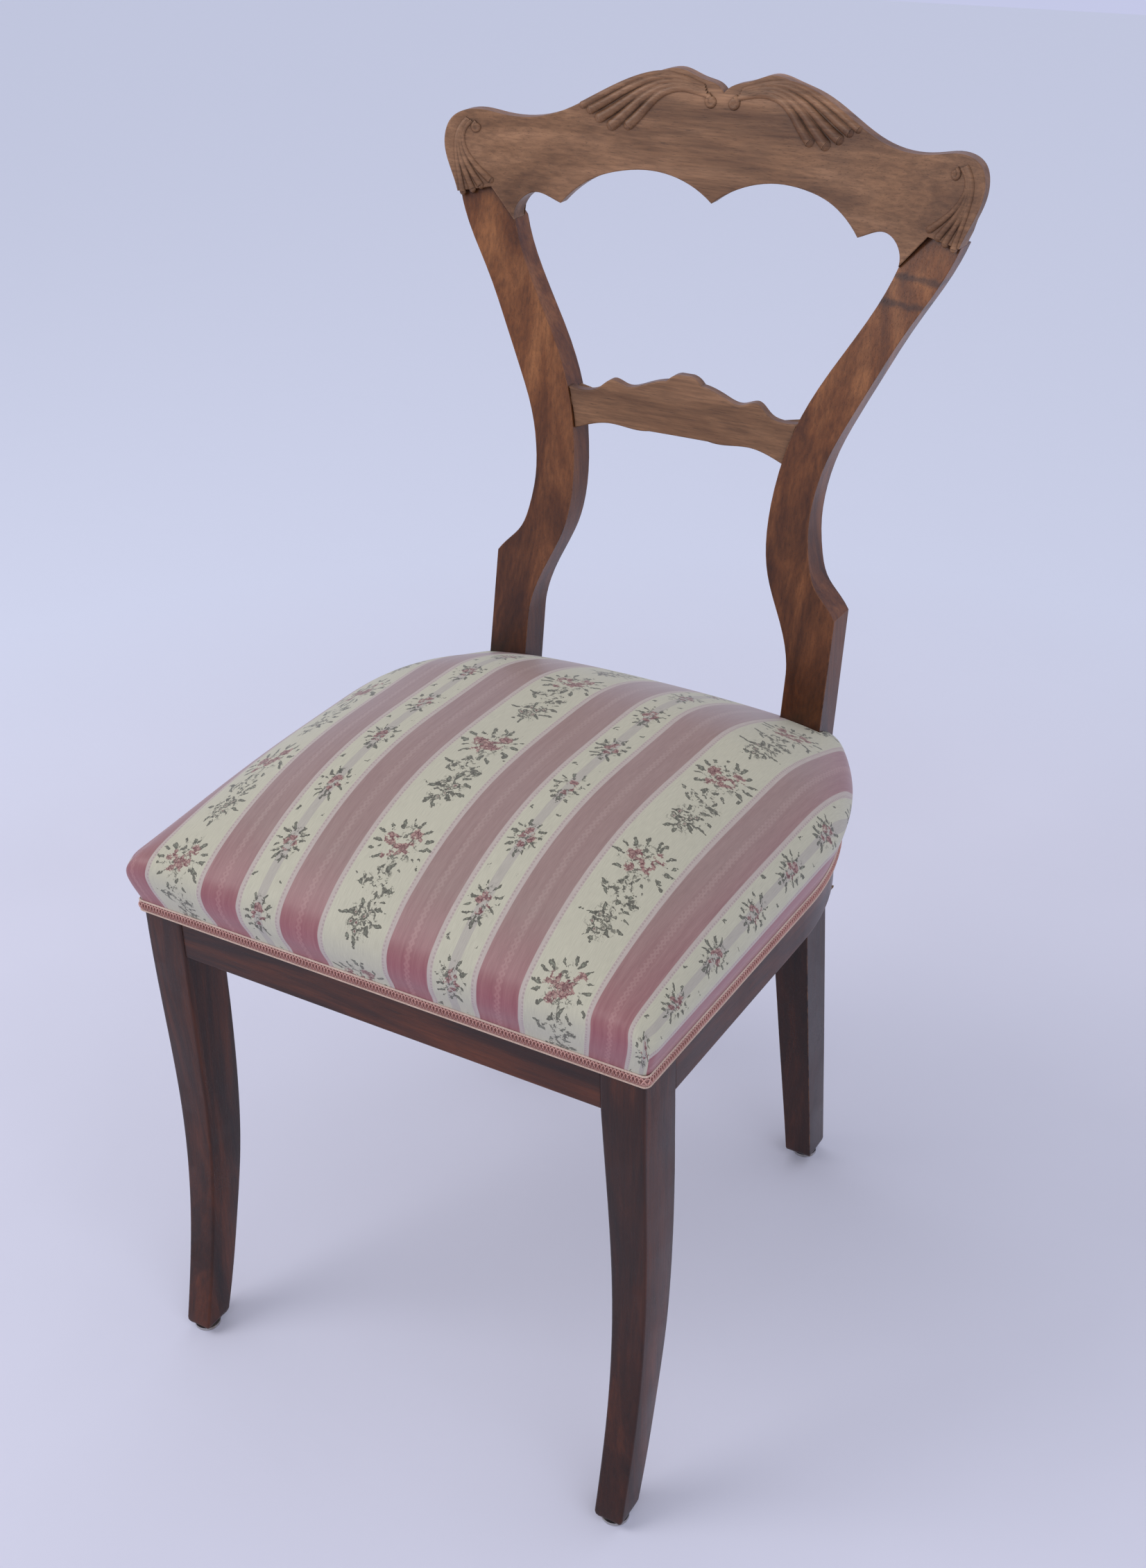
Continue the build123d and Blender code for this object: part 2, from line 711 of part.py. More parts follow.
def strap_form(plane, points, middle):
    # A strap of the webbing, drawn edge on and given its width
    with BuildPart() as form:
        with BuildSketch(plane.offset(middle)):
            with BuildLine():
                Polyline(*points, close=True)
            make_face()
        extrude(amount=strap_width / 2, both=True)
        with Locations(*tack_places):
            Cylinder(tack_shank_diameter / 2 + tack_clearance, tack_length, mode=Mode.SUBTRACT)
    return form.part


strap_front_y = frame_corner_y - strap_lap
strap_back_y = back_rail_front_y + strap_lap
strap_reach_xs = [rail_inner_x(y) + strap_lap for y in strap_ys]
tack_steps = [(i - (tacks_per_end - 1) / 2) * strap_width / tacks_per_end for i in range(tacks_per_end)]
tack_places = []
for x in strap_xs:
    for step in tack_steps:
        tack_places += [(x + step, strap_front_y + strap_lap / 2, rail_bottom)]
        tack_places += [(x + step, strap_back_y - strap_lap / 2, rail_bottom)]
for y, reach in zip(strap_ys, strap_reach_xs):
    for step in tack_steps:
        for side in (-1, 1):
            tack_places.append((side * (reach - strap_lap / 2), y + step, rail_bottom))

with BuildPart() as webbing_tack:
    tack_head_z = -strap_thickness - tack_head_height
    with Locations((0, 0, tack_head_z)):
        Cylinder(tack_shank_diameter / 2, tack_length, align=(Align.CENTER, Align.CENTER, Align.MIN))
        Cone(
            tack_head_diameter / 4,
            tack_head_diameter / 2,
            tack_head_height,
            align=(Align.CENTER, Align.CENTER, Align.MIN),
        )

with BuildPart() as tack_holes:
    with Locations(*[(x, y, z + tack_head_z) for x, y, z in tack_places]):
        Cylinder(
            tack_shank_diameter / 2 + tack_clearance,
            tack_length + tack_clearance,
            align=(Align.CENTER, Align.CENTER, Align.MIN),
        )

with BuildPart() as webbing_tacks:
    with Locations(*tack_places):
        add(webbing_tack.part)

for piece in (front_seat_rail, back_seat_rail, side_seat_rail_right):
    with piece:
        add(tack_holes.part, mode=Mode.SUBTRACT)
with front_seat_rail:
    add(screw_holes_right.part, mode=Mode.SUBTRACT)
    add(screw_holes_right.part.mirror(Plane.YZ), mode=Mode.SUBTRACT)
with back_seat_rail:
    add(screw_holes_right.part, mode=Mode.SUBTRACT)
    add(screw_holes_right.part.mirror(Plane.YZ), mode=Mode.SUBTRACT)

finish_pair("front_leg", front_leg_right.part)
finish_pair("rear_post", rear_post_right.part)
finish_pair("side_seat_rail", side_seat_rail_right.part)
finish_pair("front_corner_block", front_corner_block_right.part)
finish_pair("rear_corner_block", rear_corner_block_right.part)
finish("front_seat_rail", front_seat_rail.part)
finish("back_seat_rail", back_seat_rail.part)
finish("crest_rail", crest_rail.part)
finish("cross_rail", cross_rail.part)
finish("crest_dowels", crest_dowels.part)
finish("corner_block_screws", corner_block_screws.part)
finish("webbing_tacks", webbing_tacks.part)
for i, x in enumerate(strap_xs):
    points = strap_profile(strap_front_y, strap_back_y, strap_ys, i % 2 == 0)
    finish(f"webbing_strap_lengthwise_{i + 1}", strap_form(Plane.YZ, points, x))
for i, (y, reach) in enumerate(zip(strap_ys, strap_reach_xs)):
    points = strap_profile(-reach, reach, strap_xs, i % 2 == 1)
    finish(f"webbing_strap_crosswise_{i + 1}", strap_form(Plane.XZ, points, -y))
for name, x, y in (
    ("front_right", glide_front_x, glide_front_y),
    ("front_left", -glide_front_x, glide_front_y),
    ("rear_right", glide_rear_x, glide_rear_y),
    ("rear_left", -glide_rear_x, glide_rear_y),
):
    finish(f"glide_{name}", glide_form().moved(Location((x, y, 0))))

# Seat springs: each is one wire, waisted, and wound in half turns of matched arcs
spring_top = rail_top + spring_rise
spring_low = strap_mid_z + weave_rise + strap_thickness / 2 + spring_clearance + spring_wire / 2
spring_climb = spring_top - spring_wire / 2 - spring_low
steps_per_turn = 4
probe_count = 400


def spring_radius(share):
    waist, end = spring_waist_diameter / 2, spring_end_diameter / 2 - spring_wire / 2
    return waist + (end - waist) * (2 * share - 1) ** 2


def spring_point(share):
    turn = 2 * pi * spring_turns * share
    radius = spring_radius(share)
    return Vector(radius * cos(turn), radius * sin(turn), spring_low + spring_climb * share)


def spring_heading(share):
    step = 1 / probe_count / spring_turns
    return (spring_point(share + step) - spring_point(share - step)).normalized()


def biarc_middle(start, start_heading, stop, stop_heading):
    # The point where two arcs of equal reach meet, and the way they head there
    span = stop - start
    both = start_heading + stop_heading
    turn_away = 2 * (1 - start_heading.dot(stop_heading))
    along = span.dot(both)
    reach = (sqrt(along**2 + turn_away * span.dot(span)) - along) / turn_away
    first, second = start + start_heading * reach, stop - stop_heading * reach
    return (first + second) / 2, (second - first).normalized()


def spring_form():
    shares = [i / steps_per_turn / spring_turns for i in range(steps_per_turn * spring_turns + 1)]
    with BuildPart() as form:
        with BuildLine() as wire:
            for a, b in zip(shares, shares[1:]):
                start, stop = spring_point(a), spring_point(b)
                middle, heading = biarc_middle(start, spring_heading(a), stop, spring_heading(b))
                TangentArc(start, middle, tangent=spring_heading(a))
                TangentArc(middle, stop, tangent=heading)
        with BuildSketch(Plane(origin=wire.line @ 0, z_dir=wire.line % 0)) as section:
            Circle(spring_wire / 2)
        sweep(section.sketch, path=wire.line)
    return form.part


spring_body = spring_form()
probes = [spring_point(i / probe_count) for i in range(probe_count + 1)]
near = probe_count // spring_turns // 2
spring_self_gap = min(
    (probes[i] - probes[j]).length for i in range(len(probes)) for j in range(i + near, len(probes))
) - spring_wire
print(f"least gap between the turns of a seat spring: {spring_self_gap:.2f} mm")
spring_places = [
    (strap_xs[0], strap_ys[0]),
    (strap_xs[-1], strap_ys[0]),
    (strap_xs[1], strap_ys[1]),
    (strap_xs[0], strap_ys[-1]),
    (strap_xs[-1], strap_ys[-1]),
]
for i, (x, y) in enumerate(spring_places):
    finish(f"seat_spring_{i + 1}", spring_body.moved(Location((x, y, 0))))

# Upholstery: outlines of the seat frame, grown or shrunk, at several heights
cover_lap = cover_thickness + post_clearance
cover_bottom = rail_top - cover_drop
gimp_bottom = cover_bottom - gimp_lap
crease_height = rail_top + border_height
crown_height = crease_height + crown_rise
crown_steps = [i / (crown_rings - 1) for i in range(crown_rings)]
canvas_seat_inset = rail_thickness / 2


def seat_plan(plane, grow, rounding=seat_corner_radius):
    # The outline of the seat frame, moved out by an amount, as a face
    front, side, rear = frame_front_y - grow, frame_half + grow, back_rail_back_y + grow
    corner = bend_centre_x + sqrt((side - bend_centre_x) ** 2 - (rear - bend_y) ** 2)
    with BuildSketch(plane) as plan:
        with BuildLine():
            edge = Line((0, front), (side - rounding, front))
            turn = TangentArc(edge @ 1, (side, front + rounding), tangent=(1, 0))
            straight = Line(turn @ 1, (side, bend_y))
            bow = TangentArc(straight @ 1, (corner, rear), tangent=(0, 1))
            Line(bow @ 1, (0, rear))
            Line((0, rear), edge @ 0)
        make_face()
        mirror(about=Plane.YZ)
    return plan.sketch


def crown_plane(front_z, rear_z):
    slope = (rear_z - front_z) / (back_rail_back_y - frame_front_y)
    return Plane(origin=(0, 0, front_z - frame_front_y * slope), x_dir=(1, 0, 0), z_dir=(0, -slope, 1))


def seat_form(inset):
    # The upholstered seat: a border that swells up to its crease, and a crown above it
    rear_crease = crease_height + crease_rise
    with BuildPart() as form:
        base = seat_plan(Plane.XY.offset(cover_bottom), cover_lap - inset)
        lap_top = seat_plan(Plane.XY.offset(rail_top), cover_lap - inset)
        brow = crown_plane(crease_height - inset, rear_crease - inset)
        crease = seat_plan(brow, crease_bulge - inset, crease_corner_radius)
        loft([base, lap_top, crease], ruled=True)
        rings = [
            seat_plan(
                crown_plane(
                    crown_height - inset - (1 - step) ** crown_power * (crown_height - crease_height),
                    crown_height - inset - (1 - step) ** crown_power * (crown_height - rear_crease),
                ),
                crease_bulge - inset - step * crown_inset,
                crease_corner_radius,
            )
            for step in crown_steps
        ]
        loft(rings)
    return form.part


def canvas_form(grow):
    # The space under the canvas, made larger all round by an amount
    with BuildPart() as form:
        seated = seat_plan(Plane.XY.offset(rail_top), grow - canvas_seat_inset)
        stretched = seat_plan(Plane.XY.offset(spring_top + spring_clearance + grow), grow - canvas_top_inset)
        loft([seated, stretched], ruled=True)
    return form.part


with BuildPart() as post_slot_right:
    with BuildSketch(Plane.YZ.offset(post_inner_x - post_clearance)):
        low_z, high_z = gimp_bottom - overrun, crown_height + 2 * overrun
        with BuildLine():
            Polyline(
                (stile_face_y(low_z) - post_clearance, low_z),
                (stile_face_y(high_z) - post_clearance, high_z),
                (chair_depth / 2, high_z),
                (chair_depth / 2, low_z),
                close=True,
            )
        make_face()
    extrude(amount=post_width + 2 * post_clearance)
post_slot_left_part = post_slot_right.part.mirror(Plane.YZ)


def clear_posts():
    # Cuts the upholstery that is being built back from both rear posts
    add(post_slot_right.part, mode=Mode.SUBTRACT)
    add(post_slot_left_part, mode=Mode.SUBTRACT)


with BuildPart() as seat_cover:
    add(seat_form(0))
    add(seat_form(cover_thickness), mode=Mode.SUBTRACT)
    clear_posts()

with BuildPart() as spring_canvas:
    add(canvas_form(canvas_thickness))
    add(canvas_form(0), mode=Mode.SUBTRACT)
    clear_posts()

with BuildPart() as hair_stuffing:
    add(seat_form(cover_thickness))
    split(bisect_by=Plane.XY.offset(rail_top), keep=Keep.TOP)
    add(canvas_form(canvas_thickness), mode=Mode.SUBTRACT)
    clear_posts()

with BuildPart() as gimp_braid:
    outside = seat_plan(Plane.XY.offset(gimp_bottom), cover_lap + gimp_thickness)
    extrude(outside, amount=gimp_height)
    inside = seat_plan(Plane.XY.offset(gimp_bottom), cover_lap)
    extrude(inside, amount=gimp_height, mode=Mode.SUBTRACT)
    clear_posts()

finish("seat_cover", seat_cover.part)
finish("spring_canvas", spring_canvas.part)
finish("hair_stuffing", hair_stuffing.part)
finish("gimp_braid", gimp_braid.part)
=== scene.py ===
import bisect
import math
import bpy
from mathutils import Matrix, Vector


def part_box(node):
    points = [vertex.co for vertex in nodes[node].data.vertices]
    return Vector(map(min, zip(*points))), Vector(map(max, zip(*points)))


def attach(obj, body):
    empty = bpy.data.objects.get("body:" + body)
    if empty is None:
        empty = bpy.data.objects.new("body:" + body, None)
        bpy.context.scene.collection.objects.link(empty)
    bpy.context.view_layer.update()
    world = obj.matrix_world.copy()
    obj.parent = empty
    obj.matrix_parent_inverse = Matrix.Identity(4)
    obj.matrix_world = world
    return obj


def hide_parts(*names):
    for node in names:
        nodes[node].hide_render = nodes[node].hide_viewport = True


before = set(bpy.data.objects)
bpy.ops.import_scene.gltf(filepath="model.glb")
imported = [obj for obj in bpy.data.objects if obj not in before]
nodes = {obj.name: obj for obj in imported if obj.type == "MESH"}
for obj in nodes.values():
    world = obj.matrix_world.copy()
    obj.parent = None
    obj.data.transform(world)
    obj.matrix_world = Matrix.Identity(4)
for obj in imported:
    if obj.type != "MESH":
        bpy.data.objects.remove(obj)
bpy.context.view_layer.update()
print("frame:", len(nodes), "nodes")


# small helpers

def deselectAll():
    if bpy.context.mode != "OBJECT":
        bpy.ops.object.mode_set(mode="OBJECT")
    bpy.ops.object.select_all(action="DESELECT")


def makeActive(piece):
    deselectAll()
    piece.select_set(True)
    bpy.context.view_layer.objects.active = piece


def applyModifier(piece, kind, **settings):
    makeActive(piece)
    modifier = piece.modifiers.new(kind.lower(), kind)
    for key, value in settings.items():
        setattr(modifier, key, value)
    bpy.ops.object.modifier_apply(modifier=modifier.name)


def inEditMode(piece, *steps):
    makeActive(piece)
    bpy.ops.object.mode_set(mode="EDIT")
    for step in steps:
        step()
    bpy.ops.object.mode_set(mode="OBJECT")


def selectFaces(piece, wanted):
    for face in piece.data.polygons:
        face.select = bool(wanted(face))
    for edge in piece.data.edges:
        edge.select = False
    for point in piece.data.vertices:
        point.select = False


def finishPiece(piece, name, material, angle=40, stands=()):
    makeActive(piece)
    bpy.ops.object.transform_apply(location=True, rotation=True, scale=True)
    bpy.ops.object.shade_smooth_by_angle(angle=math.radians(angle))
    piece.name = name
    piece.data.materials.clear()
    piece.data.materials.append(material)
    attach(piece, "root")
    if stands:
        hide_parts(*stands)
    return piece


def joinPieces(pieces):
    deselectAll()
    for piece in pieces:
        piece.select_set(True)
    bpy.context.view_layer.objects.active = pieces[0]
    if len(pieces) > 1:
        bpy.ops.object.join()
    return pieces[0]


# small helpers for materials

def startMaterial(name):
    material = bpy.data.materials.new(name)
    material.use_nodes = True
    tree = material.node_tree
    tree.nodes.clear()
    output = tree.nodes.new("ShaderNodeOutputMaterial")
    shader = tree.nodes.new("ShaderNodeBsdfPrincipled")
    tree.links.new(shader.outputs["BSDF"], output.inputs["Surface"])
    return material, tree, shader


def put(tree, kind, sockets=None, **settings):
    node = tree.nodes.new(kind)
    for key, value in settings.items():
        setattr(node, key, value)
    for key, value in (sockets or {}).items():
        if isinstance(value, bpy.types.NodeSocket):
            tree.links.new(value, node.inputs[key])
        else:
            node.inputs[key].default_value = value
    return node


def calc(tree, operation, *values, clamp=False):
    sockets = dict(enumerate(values))
    return put(tree, "ShaderNodeMath", sockets, operation=operation, use_clamp=clamp).outputs[0]


def blendColour(tree, share, first, second, kind="MIX"):
    node = put(tree, "ShaderNodeMix", data_type="RGBA", blend_type=kind)
    for place, value in ((0, share), (6, first), (7, second)):
        if isinstance(value, bpy.types.NodeSocket):
            tree.links.new(value, node.inputs[place])
        else:
            node.inputs[place].default_value = value
    return node.outputs[2]


def rampOf(tree, value, stops):
    node = put(tree, "ShaderNodeValToRGB", {"Fac": value})
    marks = node.color_ramp.elements
    while len(marks) < len(stops):
        marks.new(0.5)
    for mark, (place, colour) in zip(marks, stops):
        mark.position = place
        mark.color = colour if len(colour) == 4 else (*colour, 1)
    return node.outputs["Color"]


def rangeOf(tree, value, low, high, outLow=0.0, outHigh=1.0):
    sockets = {"Value": value, "From Min": low, "From Max": high, "To Min": outLow, "To Max": outHigh}
    return put(tree, "ShaderNodeMapRange", sockets).outputs["Result"]


def noiseOf(tree, vector, scale, detail=4, roughness=0.55, distortion=0.0):
    sockets = {"Vector": vector, "Scale": scale, "Detail": detail, "Roughness": roughness, "Distortion": distortion}
    return put(tree, "ShaderNodeTexNoise", sockets).outputs["Fac"]


def stretched(tree, vector, scale):
    return put(tree, "ShaderNodeMapping", {"Vector": vector, "Scale": scale}).outputs["Vector"]


def objectPlace(tree):
    return put(tree, "ShaderNodeTexCoord").outputs["Object"]


# camera, as the photograph was taken

cameraSettings = {
    "place": (0.70068, -1.11475, 1.18900),
    "azimuth": 31.81,
    "elevation": 29.64,
    "roll": -1.52,
    "lens": 44.40,
    "shift": (0.0011, 0.0),
}


def makeCamera(s):
    azimuth, elevation, roll = (math.radians(s[k]) for k in ("azimuth", "elevation", "roll"))
    back = Vector((math.sin(azimuth) * math.cos(elevation), -math.cos(azimuth) * math.cos(elevation), math.sin(elevation)))
    right = Vector((0, 0, 1)).cross(back).normalized()
    up = back.cross(right)
    tilted = right * math.cos(roll) + up * math.sin(roll)
    upright = up * math.cos(roll) - right * math.sin(roll)
    data = bpy.data.cameras.new("photoCamera")
    data.lens = s["lens"]
    data.shift_x, data.shift_y = s["shift"]
    data.clip_start, data.clip_end = 0.05, 50
    camera = bpy.data.objects.new("photoCamera", data)
    bpy.context.scene.collection.objects.link(camera)
    turn = Matrix((tilted, upright, back)).transposed().to_4x4()
    camera.matrix_world = Matrix.Translation(s["place"]) @ turn
    bpy.context.scene.camera = camera


makeCamera(cameraSettings)
print("camera: set")


# studio: pale floor and wall, soft daylight from the upper left

studioSettings = {
    "floorColour": (0.74, 0.74, 0.90),
    "wallColour": (0.56, 0.585, 0.80),
    "farFloor": (0.77, 0.80, 0.98),
    "wallFrom": 0.85,
    "wallTo": 1.5,
    "domeStrength": 0.74,
    "keyPower": 21.0,
    "keyPlace": (-1.6, -1.5, 2.3),
    "keySize": 1.7,
    "fillPower": 6.0,
    "fillPlace": (2.0, -1.2, 1.6),
    "fillSize": 2.0,
}


def softLamp(name, place, target, size, power, colour):
    data = bpy.data.lights.new(name, "AREA")
    data.shape = "DISK"
    data.size = size
    data.energy = power
    data.color = colour
    lamp = bpy.data.objects.new(name, data)
    bpy.context.scene.collection.objects.link(lamp)
    lamp.location = place
    lamp.rotation_euler = (Vector(place) - Vector(target)).to_track_quat("Z", "Y").to_euler()


def makeStudio(s):
    deselectAll()
    bpy.ops.mesh.primitive_plane_add(size=14, location=(0, 0, 0))
    floor = bpy.context.object
    floor.name = "floor"
    material, tree, shader = startMaterial("paleFloor")
    place = objectPlace(tree)
    soft = noiseOf(tree, place, 1.6, 3, 0.5)
    shade = rampOf(tree, soft, [(0.3, [c * 0.97 for c in s["floorColour"]]), (0.7, [c * 1.03 for c in s["floorColour"]])])
    distance = put(tree, "ShaderNodeVectorMath", {0: place}, operation="LENGTH").outputs["Value"]
    shade = blendColour(tree, rangeOf(tree, distance, s["wallFrom"], s["wallTo"]), shade, (*s["farFloor"], 1))
    tree.links.new(shade, shader.inputs["Base Color"])
    shader.inputs["Roughness"].default_value = 0.9
    shader.inputs["Specular IOR Level"].default_value = 0.1
    creases = put(tree, "ShaderNodeBump", {"Strength": 0.25, "Distance": 0.01, "Height": noiseOf(tree, place, 5, 4, 0.5, 0.6)})
    tree.links.new(creases.outputs["Normal"], shader.inputs["Normal"])
    floor.data.materials.append(material)

    world = bpy.data.worlds.new("studioWorld")
    bpy.context.scene.world = world
    world.use_nodes = True
    tree = world.node_tree
    tree.nodes.clear()
    output = tree.nodes.new("ShaderNodeOutputWorld")
    path = put(tree, "ShaderNodeLightPath")
    seen = calc(tree, "MAXIMUM", path.outputs["Is Camera Ray"], calc(tree, "MAXIMUM", path.outputs["Is Glossy Ray"], path.outputs["Is Transmission Ray"]))
    shown = put(tree, "ShaderNodeBackground", {"Color": (*s["wallColour"], 1), "Strength": 1.0})
    dome = put(tree, "ShaderNodeBackground", {"Color": (0.93, 0.95, 1.0, 1), "Strength": s["domeStrength"]})
    both = put(tree, "ShaderNodeMixShader", {0: seen, 1: dome.outputs[0], 2: shown.outputs[0]})
    tree.links.new(both.outputs[0], output.inputs["Surface"])
    softLamp("windowLight", s["keyPlace"], (0, 0, 0.5), s["keySize"], s["keyPower"], (1.0, 0.98, 0.95))
    softLamp("roomFill", s["fillPlace"], (0, 0, 0.5), s["fillSize"], s["fillPower"], (0.92, 0.95, 1.0))


makeStudio(studioSettings)
bpy.context.scene.view_settings.view_transform = "Standard"
print("studio: set")


# woods: old walnut under shellac, and raw beech inside

woodKinds = {
    "dark": {"deep": (0.009, 0.0030, 0.0020), "middle": (0.040, 0.0098, 0.0036), "light": (0.130, 0.031, 0.0085), "gloss": 0.30},
    "stile": {"deep": (0.055, 0.0145, 0.0040), "middle": (0.185, 0.062, 0.018), "light": (0.35, 0.140, 0.050), "gloss": 0.34},
    "paler": {"deep": (0.125, 0.055, 0.025), "middle": (0.250, 0.125, 0.063), "light": (0.42, 0.225, 0.125), "gloss": 0.40},
}
grainStretch = {"X": (1.0, 9.0, 9.0), "Y": (9.0, 1.0, 9.0), "Z": (9.0, 9.0, 1.0)}


def woodColour(tree, place, kind, axis):
    stretch = grainStretch[axis]
    along = stretched(tree, place, stretch)
    figure = noiseOf(tree, along, 3.2, 5, 0.6, 1.1)
    colour = rampOf(tree, figure, [(0.28, kind["deep"]), (0.5, kind["middle"]), (0.74, kind["light"])])
    fine = noiseOf(tree, stretched(tree, place, [v * v / 3 if v > 1 else 1.5 for v in stretch]), 16, 4, 0.6, 0.2)
    colour = blendColour(tree, 0.55, colour, rampOf(tree, fine, [(0.32, (0.45, 0.42, 0.4)), (0.62, (1.12, 1.1, 1.08))]), "MULTIPLY")
    pores = noiseOf(tree, stretched(tree, place, [v * v if v > 1 else 4 for v in stretch]), 24, 2, 0.5)
    poreMask = rangeOf(tree, pores, 0.62, 0.70)
    return blendColour(tree, calc(tree, "MULTIPLY", poreMask, 0.45), colour, (*[c * 0.3 for c in kind["deep"]], 1)), fine, poreMask


def walnut(name, lower, upper, axis, fadeFrom=0.0, fadeTo=1.0, mendAt=()):
    material, tree, shader = startMaterial(name)
    place = objectPlace(tree)
    colour, fine, pores = woodColour(tree, place, woodKinds[lower], axis)
    if upper != lower:
        second, fine, pores = woodColour(tree, place, woodKinds[upper], axis)
        height = put(tree, "ShaderNodeSeparateXYZ", {0: place}).outputs["Z"]
        drift = calc(tree, "MULTIPLY_ADD", noiseOf(tree, place, 7, 3), 0.12, calc(tree, "SUBTRACT", height, 0.06))
        colour = blendColour(tree, rangeOf(tree, drift, fadeFrom, fadeTo), colour, second)
    for level in mendAt:
        # an old mend: a dark line of glue across the grain
        height = put(tree, "ShaderNodeSeparateXYZ", {0: place}).outputs["Z"]
        ragged = calc(tree, "MULTIPLY_ADD", noiseOf(tree, place, 120, 3), 0.007, level - 0.0035)
        seam = rangeOf(tree, calc(tree, "ABSOLUTE", calc(tree, "SUBTRACT", height, ragged)), 0.0034, 0.0010)
        colour = blendColour(tree, calc(tree, "MULTIPLY", seam, 0.65), colour, (0.030, 0.014, 0.011, 1))
    blotches = noiseOf(tree, place, 11, 4, 0.6, 0.4)
    colour = blendColour(tree, 0.5, colour, rampOf(tree, blotches, [(0.35, (0.62, 0.58, 0.56)), (0.6, (1.08, 1.06, 1.05))]), "MULTIPLY")
    rounded = put(tree, "ShaderNodeBevel", {"Radius": 0.0014}, samples=4).outputs["Normal"]
    flat = put(tree, "ShaderNodeNewGeometry").outputs["Normal"]
    edge = calc(tree, "SUBTRACT", 1.0, put(tree, "ShaderNodeVectorMath", {0: rounded, 1: flat}, operation="DOT_PRODUCT").outputs["Value"])
    chips = noiseOf(tree, place, 90, 3, 0.6)
    worn = calc(tree, "MULTIPLY", rangeOf(tree, edge, 0.02, 0.18), rangeOf(tree, chips, 0.40, 0.62), clamp=True)
    colour = blendColour(tree, calc(tree, "MULTIPLY", worn, 0.55), colour, (*[min(1, c * 1.5 + 0.02) for c in woodKinds[upper]["light"]], 1))
    # painted shade: the ambient occlusion darkens the wood to near black where it is occluded, in the carving's hollows
    # and wherever another part stands close; in the carving it also stands for dark dirt
    hollow = put(tree, "ShaderNodeAmbientOcclusion", {"Distance": 0.012}, samples=4, only_local=False).outputs["AO"]
    grimeAndShade = rangeOf(tree, hollow, 0.35, 0.85, 1.0, 0.0)
    colour = blendColour(tree, calc(tree, "MULTIPLY", grimeAndShade, 0.75), colour, (0.010, 0.006, 0.005, 1))
    tree.links.new(colour, shader.inputs["Base Color"])
    gloss = woodKinds[lower]["gloss"]
    rough = rangeOf(tree, blotches, 0.3, 0.7, gloss - 0.05, gloss + 0.13)
    rough = calc(tree, "ADD", rough, calc(tree, "MULTIPLY", worn, 0.15))
    tree.links.new(rough, shader.inputs["Roughness"])
    shader.inputs["Specular IOR Level"].default_value = 0.34
    shader.inputs["Coat Weight"].default_value = 0.08
    shader.inputs["Coat Roughness"].default_value = 0.25
    depth = calc(tree, "SUBTRACT", calc(tree, "MULTIPLY", fine, 0.35), calc(tree, "MULTIPLY", pores, 0.8))
    bump = put(tree, "ShaderNodeBump", {"Strength": 0.35, "Distance": 0.0005, "Height": depth, "Normal": rounded})
    tree.links.new(bump.outputs["Normal"], shader.inputs["Normal"])
    return material


def rawWood(name, axis):
    material, tree, shader = startMaterial(name)
    place = objectPlace(tree)
    stretch = grainStretch[axis]
    figure = noiseOf(tree, stretched(tree, place, stretch), 7, 4, 0.6, 0.5)
    colour = rampOf(tree, figure, [(0.3, (0.30, 0.19, 0.10)), (0.55, (0.47, 0.33, 0.20)), (0.75, (0.56, 0.42, 0.27))])
    flecks = rangeOf(tree, noiseOf(tree, stretched(tree, place, [v * 6 for v in stretch]), 9, 2), 0.60, 0.66)
    colour = blendColour(tree, calc(tree, "MULTIPLY", flecks, 0.5), colour, (0.20, 0.11, 0.05, 1))
    dust = rangeOf(tree, noiseOf(tree, place, 14, 3), 0.45, 0.7)
    colour = blendColour(tree, calc(tree, "MULTIPLY", dust, 0.35), colour, (0.16, 0.11, 0.08, 1))
    tree.links.new(colour, shader.inputs["Base Color"])
    shader.inputs["Roughness"].default_value = 0.75
    bump = put(tree, "ShaderNodeBump", {"Strength": 0.4, "Distance": 0.0006, "Height": figure})
    tree.links.new(bump.outputs["Normal"], shader.inputs["Normal"])
    return material


legWalnut = walnut("legWalnut", "dark", "dark", "Z")
railWalnutAcross = walnut("railWalnutAcross", "dark", "dark", "X")
railWalnutAlong = walnut("railWalnutAlong", "dark", "dark", "Y")
postWalnut = walnut("postWalnut", "dark", "stile", "Z", 0.40, 0.72)
mendedWalnut = walnut("mendedWalnut", "dark", "stile", "Z", 0.40, 0.72, (0.787, 0.806))
crestWalnut = walnut("crestWalnut", "paler", "paler", "X")
rawBeech = rawWood("rawBeech", "X")


# metals

def oldMetal(name, colour, roughness, rust, rustShare):
    material, tree, shader = startMaterial(name)
    place = objectPlace(tree)
    spots = noiseOf(tree, place, 160, 4, 0.65)
    stain = rangeOf(tree, noiseOf(tree, place, 45, 3), 1 - rustShare, 1 - rustShare + 0.12)
    tone = rampOf(tree, spots, [(0.3, [c * 0.72 for c in colour]), (0.7, colour)])
    tree.links.new(blendColour(tree, stain, tone, (*rust, 1)), shader.inputs["Base Color"])
    tree.links.new(calc(tree, "SUBTRACT", 1.0, calc(tree, "MULTIPLY", stain, 0.8)), shader.inputs["Metallic"])
    tree.links.new(rangeOf(tree, spots, 0.3, 0.7, roughness, roughness + 0.2), shader.inputs["Roughness"])
    bump = put(tree, "ShaderNodeBump", {"Strength": 0.25, "Distance": 0.0003, "Height": spots})
    tree.links.new(bump.outputs["Normal"], shader.inputs["Normal"])
    return material


